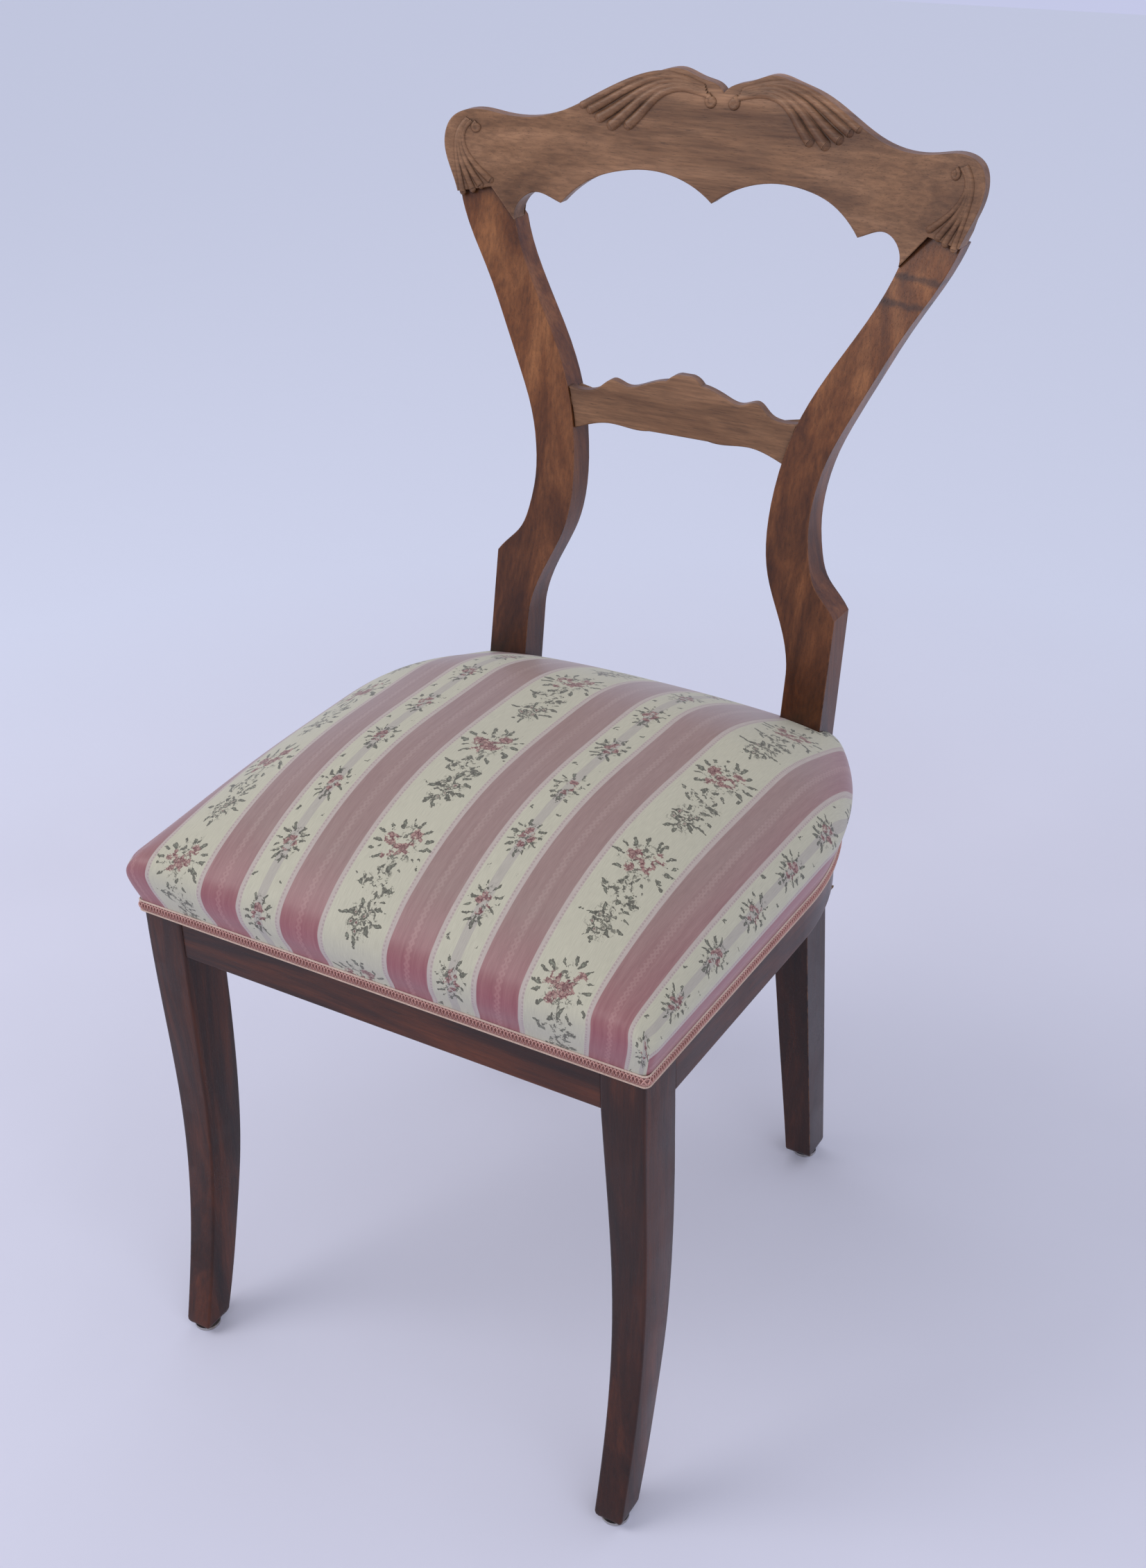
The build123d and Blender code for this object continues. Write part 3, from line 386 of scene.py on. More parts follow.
glideSteel = oldMetal("glideSteel", (0.62, 0.60, 0.56), 0.28, (0.16, 0.08, 0.04), 0.42)
springSteel = oldMetal("springSteel", (0.42, 0.33, 0.26), 0.38, (0.13, 0.06, 0.03), 0.45)
tackSteel = oldMetal("tackSteel", (0.12, 0.13, 0.17), 0.35, (0.09, 0.04, 0.02), 0.42)
screwSteel = oldMetal("screwSteel", (0.40, 0.39, 0.37), 0.38, (0.12, 0.06, 0.03), 0.45)


# striped cover: the u of its map runs across the stripes and the v along them, both in metres

fabricSettings = {
    "period": 0.165,
    "start": -0.0565,            # middle of a pink stripe
    "widePitch": 0.092,
    "pinkHalf": 0.0165,
    "bandWidth": 0.0042,
    "centreLine": 0.0036,
    "bigRepeat": 0.119,
    "bigStart": 0.003,
    "smallRepeat": 0.0595,
    "smallStart": 0.012,
    "pinkLow": (0.270, 0.075, 0.095),     # deeper rose, on the border, where the satin shows little sheen
    "pinkLowLight": (0.46, 0.22, 0.22),
    "pinkTopSheen": (0.300, 0.190, 0.176),     # paler, greyer pink on the top: painted sheen, the satin's shine where the light falls on it
    "pinkTopSheenLight": (0.42, 0.30, 0.275),
    "fadeFrom": 0.436,
    "fadeTo": 0.478,
    "cream": (0.535, 0.508, 0.405),
    "band": (0.49, 0.40, 0.385),
    "mauve": (0.42, 0.38, 0.345),
    "leafInk": (0.078, 0.074, 0.056),
    "leafPale": (0.215, 0.225, 0.170),
    "roseInk": (0.135, 0.030, 0.040),
    "rosePale": (0.41, 0.225, 0.205),
    "fleckScale": 0.30,
}
# each mark of a motif: kind, middle across, middle along, half length, half width, turn in degrees; in millimetres
bigLeaves = (
    (-14, 47, 5, 1.9, 120), (-19, 42, 5, 1.7, 155), (-7, 52, 5.5, 1.7, 105), (1, 56, 6.5, 1.8, 110), (6, 55, 6, 1.7, 75),
    (14, 50, 5.5, 1.8, 55), (19, 44, 5, 1.6, 30), (20, 36, 5, 1.8, 5), (-20, 33, 5.5, 1.9, 175), (-18, 27, 5, 1.7, 200),
    (17, 27, 6, 2.0, -25), (21, 22, 5, 1.6, -50), (-13, 20, 5, 1.8, 215), (4, 15, 6, 1.6, 250), (-4, 12, 5.5, 1.7, 240),
    (11, 13, 5, 1.6, -60), (-15, 3, 5.5, 1.7, 160), (-10, -3, 6, 1.6, 140), (8, 2, 5, 1.6, 60), (13, -3, 5, 1.6, 20),
    (3, -8, 5.5, 1.7, 70), (10, -11, 5, 1.5, 10), (-3, -15, 5, 1.7, 110), (14, -18, 5.5, 1.7, -20), (-14, -25, 5, 1.7, 175),
    (-8, -24, 4.5, 1.6, 195), (9, -33, 5, 1.6, -45), (-5, -40, 5.5, 1.8, 250), (1, -43, 5, 1.7, 280), (16, -28, 5, 1.5, -10),
)
bigBuds = (
    (-4, -22, 4.2, 3.4, 80), (3, -24, 4.2, 3.3, 100), (7, -20, 4.4, 3.4, 60), (-1, -30, 4.2, 3.3, 90), (-6, -30, 3.8, 3.0, 110),
    (4, -31, 4.0, 3.2, 70), (0, -36, 3.6, 2.8, 90),
)
# scattered small leaves under the flowers
bigGrowth = ((0, 35, 21, 18, 90), (2, -26, 20, 14, 90), (0, 4, 15, 9, 100), (-8, 0, 10, 6, 150), (10, -4, 9, 6, 30))
smallGrowth = ((0, 4, 16, 12, 90), (0, -9, 8, 6, 90))
bigRoses = ((3, 33, 9.5, 8.5, 20), (-9, 37, 7.5, 6.5, 70), (8, 45, 6.5, 6.0, -20), (-6, 24, 6.0, 4.6, 50))
bigStems = (
    (2, 16, 11, 0.55, 100), (-1, 3, 10, 0.55, 75), (1, -10, 10, 0.5, 95), (-9, 1, 8, 0.45, 140), (9, -1, 8, 0.45, 45),
    (-10, -25, 7, 0.45, 185), (9, -27, 8, 0.45, -40),
)
smallLeaves = (
    (-9, 12, 4.2, 1.3, 145), (-4, 16, 4.4, 1.3, 115), (4, 16, 4.6, 1.3, 75), (9, 11, 4.4, 1.4, 30), (11, 5, 4.0, 1.3, 0),
    (-11, 5, 4.2, 1.4, 180), (-9, -1, 4.0, 1.3, 205), (8, -1, 4.2, 1.3, -30), (-5, -11, 4.6, 1.4, 230), (0, -13, 5.0, 1.4, 265),
    (5, -11, 4.6, 1.4, -55), (-8, -7, 4.0, 1.3, 200),
    (-13, -28, 3.2, 1.1, 60), (-11, -31, 3.2, 1.1, 120), (-14, -32, 2.8, 1.0, 190), (13, -27, 3.2, 1.1, 50), (11, -30, 3.0, 1.0, 160),
    (15, -31, 2.8, 1.0, -30),
)
smallRoses = ((0, 8, 4.6, 4.2, 10), (-4, 3, 3.6, 3.2, 50), (4, 2, 3.4, 3.0, 80), (0, -4, 3.4, 2.8, 20))


def ellipseMark(tree, place, mark):
    across, along, half, width, turn = mark
    sockets = {"Vector": place, "Location": (across, along, 0), "Rotation": (0, 0, math.radians(turn)), "Scale": (half, width, 1)}
    local = put(tree, "ShaderNodeMapping", sockets, vector_type="TEXTURE").outputs["Vector"]
    return put(tree, "ShaderNodeTexGradient", {"Vector": local}, gradient_type="SPHERICAL").outputs["Fac"]


def heap(tree, place, marks):
    total = None
    for mark in marks:
        value = ellipseMark(tree, place, mark)
        total = value if total is None else calc(tree, "MAXIMUM", total, value)
    return total


def stripedFabric(name, s):
    material, tree, shader = startMaterial(name)
    flat = put(tree, "ShaderNodeUVMap", uv_map="weave").outputs["UV"]
    axes = put(tree, "ShaderNodeSeparateXYZ", {0: flat})
    across, along = axes.outputs["X"], axes.outputs["Y"]
    local = calc(tree, "SUBTRACT", across, s["start"])
    turn = calc(tree, "WRAP", local, s["period"] - s["pinkHalf"] * 1.5, -s["pinkHalf"] * 1.5)
    stripeNumber = calc(tree, "FLOOR", calc(tree, "DIVIDE", calc(tree, "ADD", local, s["pinkHalf"] * 1.5), s["period"]))
    narrowPitch = s["period"] - s["widePitch"]
    fromFirst = calc(tree, "ABSOLUTE", turn)
    fromSecond = calc(tree, "ABSOLUTE", calc(tree, "SUBTRACT", turn, s["widePitch"]))
    fromPink = calc(tree, "MINIMUM", fromFirst, fromSecond)
    threads = noiseOf(tree, stretched(tree, flat, (1, 0.04, 1)), 2600, 2, 0.5)
    satin = noiseOf(tree, stretched(tree, flat, (1, 0.05, 1)), 330, 3, 0.6)
    cloud = noiseOf(tree, stretched(tree, flat, (1, 0.5, 1)), 16, 3, 0.55)
    # painted sheen: by height, the pink turns paler and greyer towards the top, standing in for the satin's shine
    height = put(tree, "ShaderNodeSeparateXYZ", {0: objectPlace(tree)}).outputs["Z"]
    paler = rangeOf(tree, height, s["fadeFrom"], s["fadeTo"])
    deep = blendColour(tree, paler, (*s["pinkLow"], 1), (*s["pinkTopSheen"], 1))
    bright = blendColour(tree, paler, (*s["pinkLowLight"], 1), (*s["pinkTopSheenLight"], 1))
    pink = blendColour(tree, rangeOf(tree, satin, 0.3, 0.7, 0.0, 0.35), deep, bright)
    zigzag = put(tree, "ShaderNodeTexWave", {"Vector": flat, "Scale": 62.0}, wave_type="BANDS", bands_direction="Y").outputs["Fac"]
    fromZigzag = calc(tree, "ABSOLUTE", calc(tree, "SUBTRACT", fromPink, calc(tree, "MULTIPLY", zigzag, 0.0016)))
    pink = blendColour(tree, calc(tree, "MULTIPLY", rangeOf(tree, fromZigzag, 0.0014, 0.0006), 0.40), pink, bright)
    cream = blendColour(tree, rangeOf(tree, cloud, 0.3, 0.7, 0.0, 0.35), (*s["cream"], 1), (*[c * 0.88 for c in s["cream"]], 1))
    fromNarrow = calc(tree, "ABSOLUTE", calc(tree, "SUBTRACT", turn, s["widePitch"] + narrowPitch / 2))
    cream = blendColour(tree, calc(tree, "MULTIPLY", rangeOf(tree, fromNarrow, s["centreLine"] + 0.0003, s["centreLine"]), 0.8), cream, (*s["mauve"], 1))

    # woven sprays, in millimetres from the middle of their stripe and of their repeat
    def motifPlace(middle, repeat, start):
        x = calc(tree, "MULTIPLY", calc(tree, "SUBTRACT", turn, middle), 1000.0)
        dropped = calc(tree, "ADD", along, calc(tree, "MULTIPLY", stripeNumber, s["bigRepeat"] / 2))
        y = calc(tree, "MULTIPLY", calc(tree, "WRAP", calc(tree, "SUBTRACT", dropped, start), repeat / 2, -repeat / 2), 1000.0)
        return put(tree, "ShaderNodeCombineXYZ", {0: x, 1: y}).outputs[0]

    wide = motifPlace(s["widePitch"] / 2, s["bigRepeat"], s["bigStart"])
    narrow = motifPlace(s["widePitch"] + narrowPitch / 2, s["smallRepeat"], s["smallStart"])
    ragged = put(tree, "ShaderNodeTexNoise", {"Vector": flat, "Scale": 620.0, "Detail": 2.0}).outputs["Color"]
    jitter = put(tree, "ShaderNodeVectorMath", {0: ragged, 1: (0.5, 0.5, 0.5)}, operation="SUBTRACT").outputs[0]
    jitter = put(tree, "ShaderNodeVectorMath", {0: jitter, "Scale": 2.2}, operation="SCALE").outputs[0]
    drift = put(tree, "ShaderNodeTexNoise", {"Vector": flat, "Scale": 120.0, "Detail": 1.0}).outputs["Color"]
    drift = put(tree, "ShaderNodeVectorMath", {0: drift, 1: (0.5, 0.5, 0.5)}, operation="SUBTRACT").outputs[0]
    drift = put(tree, "ShaderNodeVectorMath", {0: drift, "Scale": 6.0}, operation="SCALE").outputs[0]
    jitter = put(tree, "ShaderNodeVectorMath", {0: jitter, 1: drift}, operation="ADD").outputs[0]
    wide = put(tree, "ShaderNodeVectorMath", {0: wide, 1: jitter}, operation="ADD").outputs[0]
    narrow = put(tree, "ShaderNodeVectorMath", {0: narrow, 1: jitter}, operation="ADD").outputs[0]
    hatch = put(tree, "ShaderNodeTexWave", {"Vector": wide, "Scale": 0.16, "Distortion": 0.6, "Detail": 1.0}, wave_type="BANDS", bands_direction="DIAGONAL").outputs["Fac"]
    leaves = calc(tree, "MAXIMUM", heap(tree, wide, bigLeaves), heap(tree, narrow, smallLeaves))
    buds = heap(tree, wide, bigBuds)
    roses = calc(tree, "MAXIMUM", heap(tree, wide, bigRoses), heap(tree, narrow, smallRoses))
    stems = heap(tree, wide, bigStems)
    growth = calc(tree, "MAXIMUM", heap(tree, wide, bigGrowth), heap(tree, narrow, smallGrowth))
    flecks = noiseOf(tree, wide, s["fleckScale"], 2, 0.5, 0.6)
    flecks = calc(tree, "MULTIPLY", rangeOf(tree, flecks, 0.50, 0.545), rangeOf(tree, growth, 0.04, 0.30))
    cream = blendColour(tree, calc(tree, "MULTIPLY", flecks, 0.85), cream, (*s["leafInk"], 1))
    leafMask = rangeOf(tree, leaves, 0.01, 0.10)
    leafTone = blendColour(tree, calc(tree, "MULTIPLY", rangeOf(tree, leaves, 0.30, 0.55), hatch), (*s["leafInk"], 1), (*s["leafPale"], 1))
    colour = blendColour(tree, calc(tree, "MULTIPLY", leafMask, 0.90), cream, leafTone)
    colour = blendColour(tree, calc(tree, "MULTIPLY", rangeOf(tree, stems, 0.1, 0.4), 0.6), colour, (*s["leafInk"], 1))
    budTone = rampOf(tree, buds, [(0.25, s["leafInk"]), (0.42, s["leafInk"]), (0.55, s["cream"]), (0.75, s["roseInk"])])
    colour = blendColour(tree, calc(tree, "MULTIPLY", rangeOf(tree, buds, 0.04, 0.16), 0.80), colour, budTone)
    petals = put(tree, "ShaderNodeTexVoronoi", {"Vector": wide, "Scale": 0.34}, feature="DISTANCE_TO_EDGE").outputs["Distance"]
    petalLine = rangeOf(tree, petals, 0.05, 0.16)
    roseTone = blendColour(tree, calc(tree, "MULTIPLY", petalLine, 0.85), (*s["roseInk"], 1), (*s["rosePale"], 1))
    roseTone = blendColour(tree, rangeOf(tree, roses, 0.55, 0.9, 0.0, 0.75), roseTone, (*s["roseInk"], 1))
    colour = blendColour(tree, calc(tree, "MULTIPLY", rangeOf(tree, roses, 0.04, 0.20), 0.85), colour, roseTone)

    # pale bands and the fine picot line beside each pink stripe
    band = calc(tree, "MULTIPLY", rangeOf(tree, fromPink, s["pinkHalf"] + s["bandWidth"] + 0.0003, s["pinkHalf"] + s["bandWidth"]), 0.85)
    colour = blendColour(tree, band, colour, (*s["band"], 1))
    picot = put(tree, "ShaderNodeTexWave", {"Vector": flat, "Scale": 105.0}, wave_type="BANDS", bands_direction="Y").outputs["Fac"]
    lineAt = calc(tree, "ABSOLUTE", calc(tree, "SUBTRACT", fromPink, s["pinkHalf"] + s["bandWidth"] * 0.8))
    line = calc(tree, "MULTIPLY", rangeOf(tree, lineAt, 0.0009, 0.0005), rangeOf(tree, picot, 0.45, 0.6))
    colour = blendColour(tree, calc(tree, "MULTIPLY", line, 0.65), colour, (0.36, 0.27, 0.26, 1))
    pinkMask = rangeOf(tree, fromPink, s["pinkHalf"] + 0.0004, s["pinkHalf"] - 0.0002)
    colour = blendColour(tree, pinkMask, colour, pink)
    colour = blendColour(tree, 0.30, colour, rampOf(tree, threads, [(0.35, (0.72, 0.72, 0.72)), (0.65, (1.15, 1.15, 1.15))]), "MULTIPLY")
    tree.links.new(colour, shader.inputs["Base Color"])
    rough = calc(tree, "SUBTRACT", 0.62, calc(tree, "MULTIPLY", pinkMask, 0.22))
    tree.links.new(rough, shader.inputs["Roughness"])
    shader.inputs["Specular IOR Level"].default_value = 0.42
    shader.inputs["Sheen Weight"].default_value = 0.18
    shader.inputs["Sheen Roughness"].default_value = 0.45
    weft = put(tree, "ShaderNodeTexWave", {"Vector": flat, "Scale": 420.0}, wave_type="BANDS", bands_direction="Y").outputs["Fac"]
    relief = calc(tree, "ADD", calc(tree, "MULTIPLY", threads, 0.6), calc(tree, "MULTIPLY", weft, calc(tree, "SUBTRACT", 0.5, calc(tree, "MULTIPLY", pinkMask, 0.4))))
    relief = calc(tree, "ADD", relief, calc(tree, "MULTIPLY", calc(tree, "MAXIMUM", leafMask, roses), 0.4))
    bump = put(tree, "ShaderNodeBump", {"Strength": 0.22, "Distance": 0.0003, "Height": relief})
    tree.links.new(bump.outputs["Normal"], shader.inputs["Normal"])
    return material


seatFabric = stripedFabric("seatFabric", fabricSettings)


def plainWeave(name, colour, shade, threadsPerMetre, uvName=None, roughness=0.9):
    material, tree, shader = startMaterial(name)
    if uvName:
        flat = put(tree, "ShaderNodeUVMap", uv_map=uvName).outputs["UV"]
    else:
        flat = objectPlace(tree)
    warp = put(tree, "ShaderNodeTexWave", {"Vector": flat, "Scale": threadsPerMetre / 6.2832, "Distortion": 0.4, "Detail": 1.0}, wave_type="BANDS", bands_direction="X").outputs["Fac"]
    weft = put(tree, "ShaderNodeTexWave", {"Vector": flat, "Scale": threadsPerMetre / 6.2832, "Distortion": 0.4, "Detail": 1.0}, wave_type="BANDS", bands_direction="Y").outputs["Fac"]
    weave = calc(tree, "MULTIPLY", warp, weft)
    slubs = noiseOf(tree, stretched(tree, flat, (1, 0.15, 1)), 300, 3)
    tone = rampOf(tree, weave, [(0.0, shade), (0.6, colour)])
    tone = blendColour(tree, 0.5, tone, rampOf(tree, slubs, [(0.3, (0.65, 0.63, 0.6)), (0.7, (1.15, 1.12, 1.08))]), "MULTIPLY")
    tree.links.new(tone, shader.inputs["Base Color"])
    shader.inputs["Roughness"].default_value = roughness
    shader.inputs["Specular IOR Level"].default_value = 0.2
    bump = put(tree, "ShaderNodeBump", {"Strength": 0.6, "Distance": 0.0006, "Height": calc(tree, "ADD", weave, calc(tree, "MULTIPLY", slubs, 0.5))})
    tree.links.new(bump.outputs["Normal"], shader.inputs["Normal"])
    return material


hessian = plainWeave("hessian", (0.42, 0.32, 0.19), (0.16, 0.11, 0.06), 1400, "cloth")
juteWebbing = plainWeave("juteWebbing", (0.45, 0.35, 0.22), (0.18, 0.12, 0.07), 1100, "cloth")
print("materials: ready")


# seat: outline of the upholstery in millimetres, x for a depth y, moved out by an amount

seatSettings = {
    "front": -250.0, "rear": 153.5, "half": 215.0, "bendFrom": -5.0, "bendCentre": -31.57,
    "bulge": 10.0, "creaseFront": 448.0, "creaseRise": 8.0, "crown": 511.0,
    "frontReach": 205.0, "frontPower": 2.38, "sideReach": 176.0, "sidePower": 2.62, "rearReach": 143.0, "rearPower": 1.63,
    "cornerRound": 12.0,
    "columns": 66, "rows": 62, "borderRows": 12,
    "lap": 1.5, "bottom": 399.0, "railTop": 410.0, "canvasTop": 469.5,
    "behindPosts": 0.012,
    "clothFrames": 14, "pressure": 0.6, "mostMove": 0.0035,
    # how far the border stands out from the seat's outline at each height
    "border": ((399.0, 1.5), (405.0, 1.6), (410.0, 2.8), (415.0, 4.6), (420.0, 6.4), (425.0, 8.1), (430.0, 9.5), (436.0, 10.8), (441.0, 11.2), (447.0, 10.4)),
}


def halfWidth(y, grow):
    s = seatSettings
    if y < s["bendFrom"]:
        return s["half"] + grow
    radius = s["half"] + grow - s["bendCentre"]
    return s["bendCentre"] + math.sqrt(max(radius ** 2 - (y - s["bendFrom"]) ** 2, 1))


def rise(distance, reach, power):
    return 1 - (1 - min(1, max(0, distance / reach))) ** power


def crownHeight(x, y):
    s = seatSettings
    front, rear = s["front"] - s["bulge"], s["rear"] + s["bulge"]
    side = max(0, halfWidth(y, s["bulge"]) - abs(x))
    share = rise(side, s["sideReach"], s["sidePower"])
    share *= rise(y - front, s["frontReach"], s["frontPower"]) * rise(rear - y, s["rearReach"], s["rearPower"])
    crease = s["creaseFront"] + s["creaseRise"] * (y - front) / (rear - front)
    height = crease + (s["crown"] - crease) * share
    for distance, reach, drop in ((side, 24, 11), (y - front, 7, 3.5), (rear - y, 20, 9)):
        part = max(0, 1 - distance / reach)
        height -= drop * (1 - math.sqrt(1 - part ** 2))
    return height


def rounded(x, y, grow, radius):
    s = seatSettings
    edgeX, edgeY = halfWidth(y, grow) - radius, s["front"] - grow + radius
    outX, outY = abs(x) - edgeX, edgeY - y
    if outX > 0 and outY > 0:
        reach = max(outX, outY) / math.hypot(outX, outY)
        return math.copysign(edgeX + outX * reach, x), edgeY - outY * reach
    return x, y


def stretchToEdges(t):
    # the grid lines stand closer together near the edges
    return t * (1 + 0.22 * (1 - t * t))


def alongLine(line, place):
    # a value read between the points of a bent line
    for (x0, y0), (x1, y1) in zip(line, line[1:]):
        if place <= x1:
            return y0 + (y1 - y0) * max(0, (place - x0) / (x1 - x0))
    return line[-1][1]


def borderPoint(a, b, share):
    # the border swells out under the crease and is drawn in again at the braid
    s = seatSettings
    topFront, topRear = s["front"] - s["bulge"], s["rear"] + s["bulge"]
    topY = topFront + (b + 1) / 2 * (topRear - topFront)
    top = crownHeight(a * halfWidth(topY, s["bulge"]), topY) - 1.5
    height = top + (s["bottom"] - top) * share
    grow = alongLine(s["border"], height)
    front, rear = s["front"] - grow, s["rear"] + grow
    y = front + (b + 1) / 2 * (rear - front)
    x, y = rounded(a * halfWidth(y, grow), y, grow, s["cornerRound"] + (3 - s["cornerRound"]) * share)
    return x, y, height


def underPoint(a, b, inset, height):
    s = seatSettings
    front, rear = s["front"] + inset, s["rear"] - inset
    y = front + (b + 1) / 2 * (rear - front)
    return a * halfWidth(y, -inset), y, height


def spot(point):
    return tuple(round(c, 6) for c in point.co)


def extrudeRing(piece, grid, ring, place):
    # the open edge is drawn out once, and each new point is put in its place
    parents = {spot(point): grid[point.index] for point in piece.data.vertices if point.select}
    inEditMode(piece, lambda: bpy.ops.mesh.extrude_region_move())
    for point in piece.data.vertices:
        if point.select:
            a, b, before = parents[spot(point)]
            grid[point.index] = (a, b, ring)
            point.co = place(a, b)


def selectOpenEdge(piece):
    inEditMode(
        piece,
        lambda: bpy.ops.mesh.select_mode(type="EDGE"),
        lambda: bpy.ops.mesh.select_all(action="DESELECT"),
        lambda: bpy.ops.mesh.select_non_manifold(),
    )


def makeSeatCover():
    s = seatSettings
    deselectAll()
    bpy.ops.mesh.primitive_grid_add(x_subdivisions=s["columns"], y_subdivisions=s["rows"], size=2, location=(0, 0, 0))
    cover = bpy.context.object
    grow = s["bulge"]
    front, rear = s["front"] - grow, s["rear"] + grow
    grid = {}
    for point in cover.data.vertices:
        a, b = stretchToEdges(point.co.x), stretchToEdges(point.co.y)
        grid[point.index] = (a, b, 0)
        y = front + (b + 1) / 2 * (rear - front)
        x = a * halfWidth(y, grow)
        z = crownHeight(x, y)
        point.co = (*rounded(x, y, grow, s["cornerRound"]), z)
    selectOpenEdge(cover)
    for row in range(1, s["borderRows"] + 1):
        extrudeRing(cover, grid, row, lambda a, b: borderPoint(a, b, row / s["borderRows"]))
    return cover, grid


def lengthTable(profile, start, stop, steps=240):
    # distance along a curved line, as pairs of place and length
    table, total = [(start, 0.0)], 0.0
    before = profile(start)
    for i in range(1, steps + 1):
        place = start + (stop - start) * i / steps
        height = profile(place)
        total += math.hypot((stop - start) / steps, height - before)
        before = height
        table.append((place, total))
    return table


def lookUp(table, place):
    share = (place - table[0][0]) / (table[-1][0] - table[0][0]) * (len(table) - 1)
    low = min(len(table) - 2, max(0, int(share)))
    (x0, y0), (x1, y1) = table[low], table[low + 1]
    return y0 + (y1 - y0) * (place - x0) / (x1 - x0)


def layWeave(cover, grid):
    # the cloth is cut flat: u across the stripes and v along them, in metres, with a fold at each front corner
    s = seatSettings
    grow = s["bulge"]
    front, rear = s["front"] - grow, s["rear"] + grow
    across = lengthTable(lambda x: crownHeight(x, -60), 0, halfWidth(-60, grow))
    along = lengthTable(lambda y: crownHeight(0, y), front, rear)
    middle = lookUp(along, 0)
    flat = {}
    for i, (a, b, ring) in grid.items():
        y = front + (b + 1) / 2 * (rear - front)
        x = a * halfWidth(y, grow)
        down = ring / s["borderRows"] * (crownHeight(x, y) - s["bottom"] + 6)
        flat[i] = (math.copysign(lookUp(across, abs(x)), x), lookUp(along, y) - middle, down)
    weave = cover.data.uv_layers.new(name="weave")
    for face in cover.data.polygons:
        corners = [grid[i] for i in face.vertices]
        onBorder = any(ring > 0 for a, b, ring in corners)
        isFront = onBorder and all(b < -0.9999 for a, b, ring in corners)
        isRear = onBorder and all(b > 0.9999 for a, b, ring in corners)
        for loop, i in zip(face.loop_indices, face.vertices):
            u, v, down = flat[i]
            if isFront:
                v -= down
            elif isRear:
                v += down
            elif onBorder:
                u = math.copysign(abs(u) + down, u)
            weave.data[loop].uv = (u / 1000, v / 1000)


def swellSeat(cover, grid):
    # the stuffing pushes the tacked cloth out, and no point moves further than the most allowed
    s = seatSettings
    before = [point.co.copy() for point in cover.data.vertices]
    held = cover.vertex_groups.new(name="tackedEdge")
    held.add([i for i, (a, b, ring) in grid.items() if ring >= s["borderRows"] - 4], 1.0, "REPLACE")
    makeActive(cover)
    cloth = cover.modifiers.new("swell", "CLOTH")
    cloth.settings.quality = 5
    cloth.settings.mass = 0.25
    cloth.settings.tension_stiffness = 30
    cloth.settings.compression_stiffness = 30
    cloth.settings.shear_stiffness = 12
    cloth.settings.bending_stiffness = 2.0
    cloth.settings.use_pressure = True
    cloth.settings.uniform_pressure_force = s["pressure"]
    cloth.settings.vertex_group_mass = "tackedEdge"
    cloth.settings.effector_weights.gravity = 0
    cloth.point_cache.frame_start, cloth.point_cache.frame_end = 1, s["clothFrames"]
    for frameNumber in range(1, s["clothFrames"] + 1):
        bpy.context.scene.frame_set(frameNumber)
    bpy.ops.object.modifier_apply(modifier=cloth.name)
    bpy.context.scene.frame_set(1)
    moves = []
    for point, home in zip(cover.data.vertices, before):
        move = point.co - home
        moves.append(move.length)
        if move.length > s["mostMove"]:
            point.co = home + move * (s["mostMove"] / move.length)
    print("seat cloth: furthest move", round(max(moves) * 1000, 2), "mm, mean", round(sum(moves) / len(moves) * 1000, 2), "mm")


def foldUnder(cover, grid):
    s = seatSettings
    last = s["borderRows"]
    selectOpenEdge(cover)
    mm = lambda place: Vector(place) / 1000
    extrudeRing(cover, grid, last + 1, lambda a, b: mm(underPoint(a, b, -0.4, s["bottom"])))
    extrudeRing(cover, grid, last + 2, lambda a, b: mm(underPoint(a, b, -0.4, s["railTop"] + 0.6)))
    extrudeRing(cover, grid, last + 3, lambda a, b: mm(underPoint(a, b, 11, s["railTop"] + 1.4)))
    extrudeRing(cover, grid, last + 4, lambda a, b: mm(underPoint(a, b, 49, s["canvasTop"] + 1.5)))


def cutForPosts(cover):
    # the cloth is cut round the two rear posts, and none of it lies behind them
    s = seatSettings
    for name in ("rear_post_left", "rear_post_right"):
        source = bpy.data.objects[name]
        cutter = bpy.data.objects.new("postRoom", source.data.copy())
        bpy.context.scene.collection.objects.link(cutter)
        inEditMode(cutter, lambda: bpy.ops.mesh.select_all(action="SELECT"), lambda: bpy.ops.mesh.remove_doubles(threshold=0.00001), lambda: bpy.ops.mesh.normals_make_consistent(inside=False))
        applyModifier(cutter, "DISPLACE", strength=0.0004, mid_level=0.0)
        for point in cutter.data.vertices:
            behindFace = point.co.y * 1000 - 128 - (point.co.z * 1000 - 410) * 0.218
            if point.co.z > 0.36 and behindFace > 15:
                point.co.y += s["behindPosts"]
        applyModifier(cover, "BOOLEAN", operation="DIFFERENCE", object=cutter, solver="MANIFOLD")
        deselectAll()
        bpy.data.objects.remove(cutter)


def makeSeat():
    cover, grid = makeSeatCover()
    layWeave(cover, grid)
    for point in cover.data.vertices:
        point.co /= 1000
    swellSeat(cover, grid)
    foldUnder(cover, grid)
    applyModifier(cover, "SUBSURF", levels=1, render_levels=1)
    selectOpenEdge(cover)
    inEditMode(cover, lambda: bpy.ops.mesh.edge_face_add())
    cutForPosts(cover)
    finishPiece(cover, "seatCushion", seatFabric, 60, ("seat_cover", "hair_stuffing"))
    return cover


seat = makeSeat()
print("seat: made,", len(seat.data.polygons), "faces")


# wood of the back: copies of the CAD pieces with their edges eased, the way the carver left them

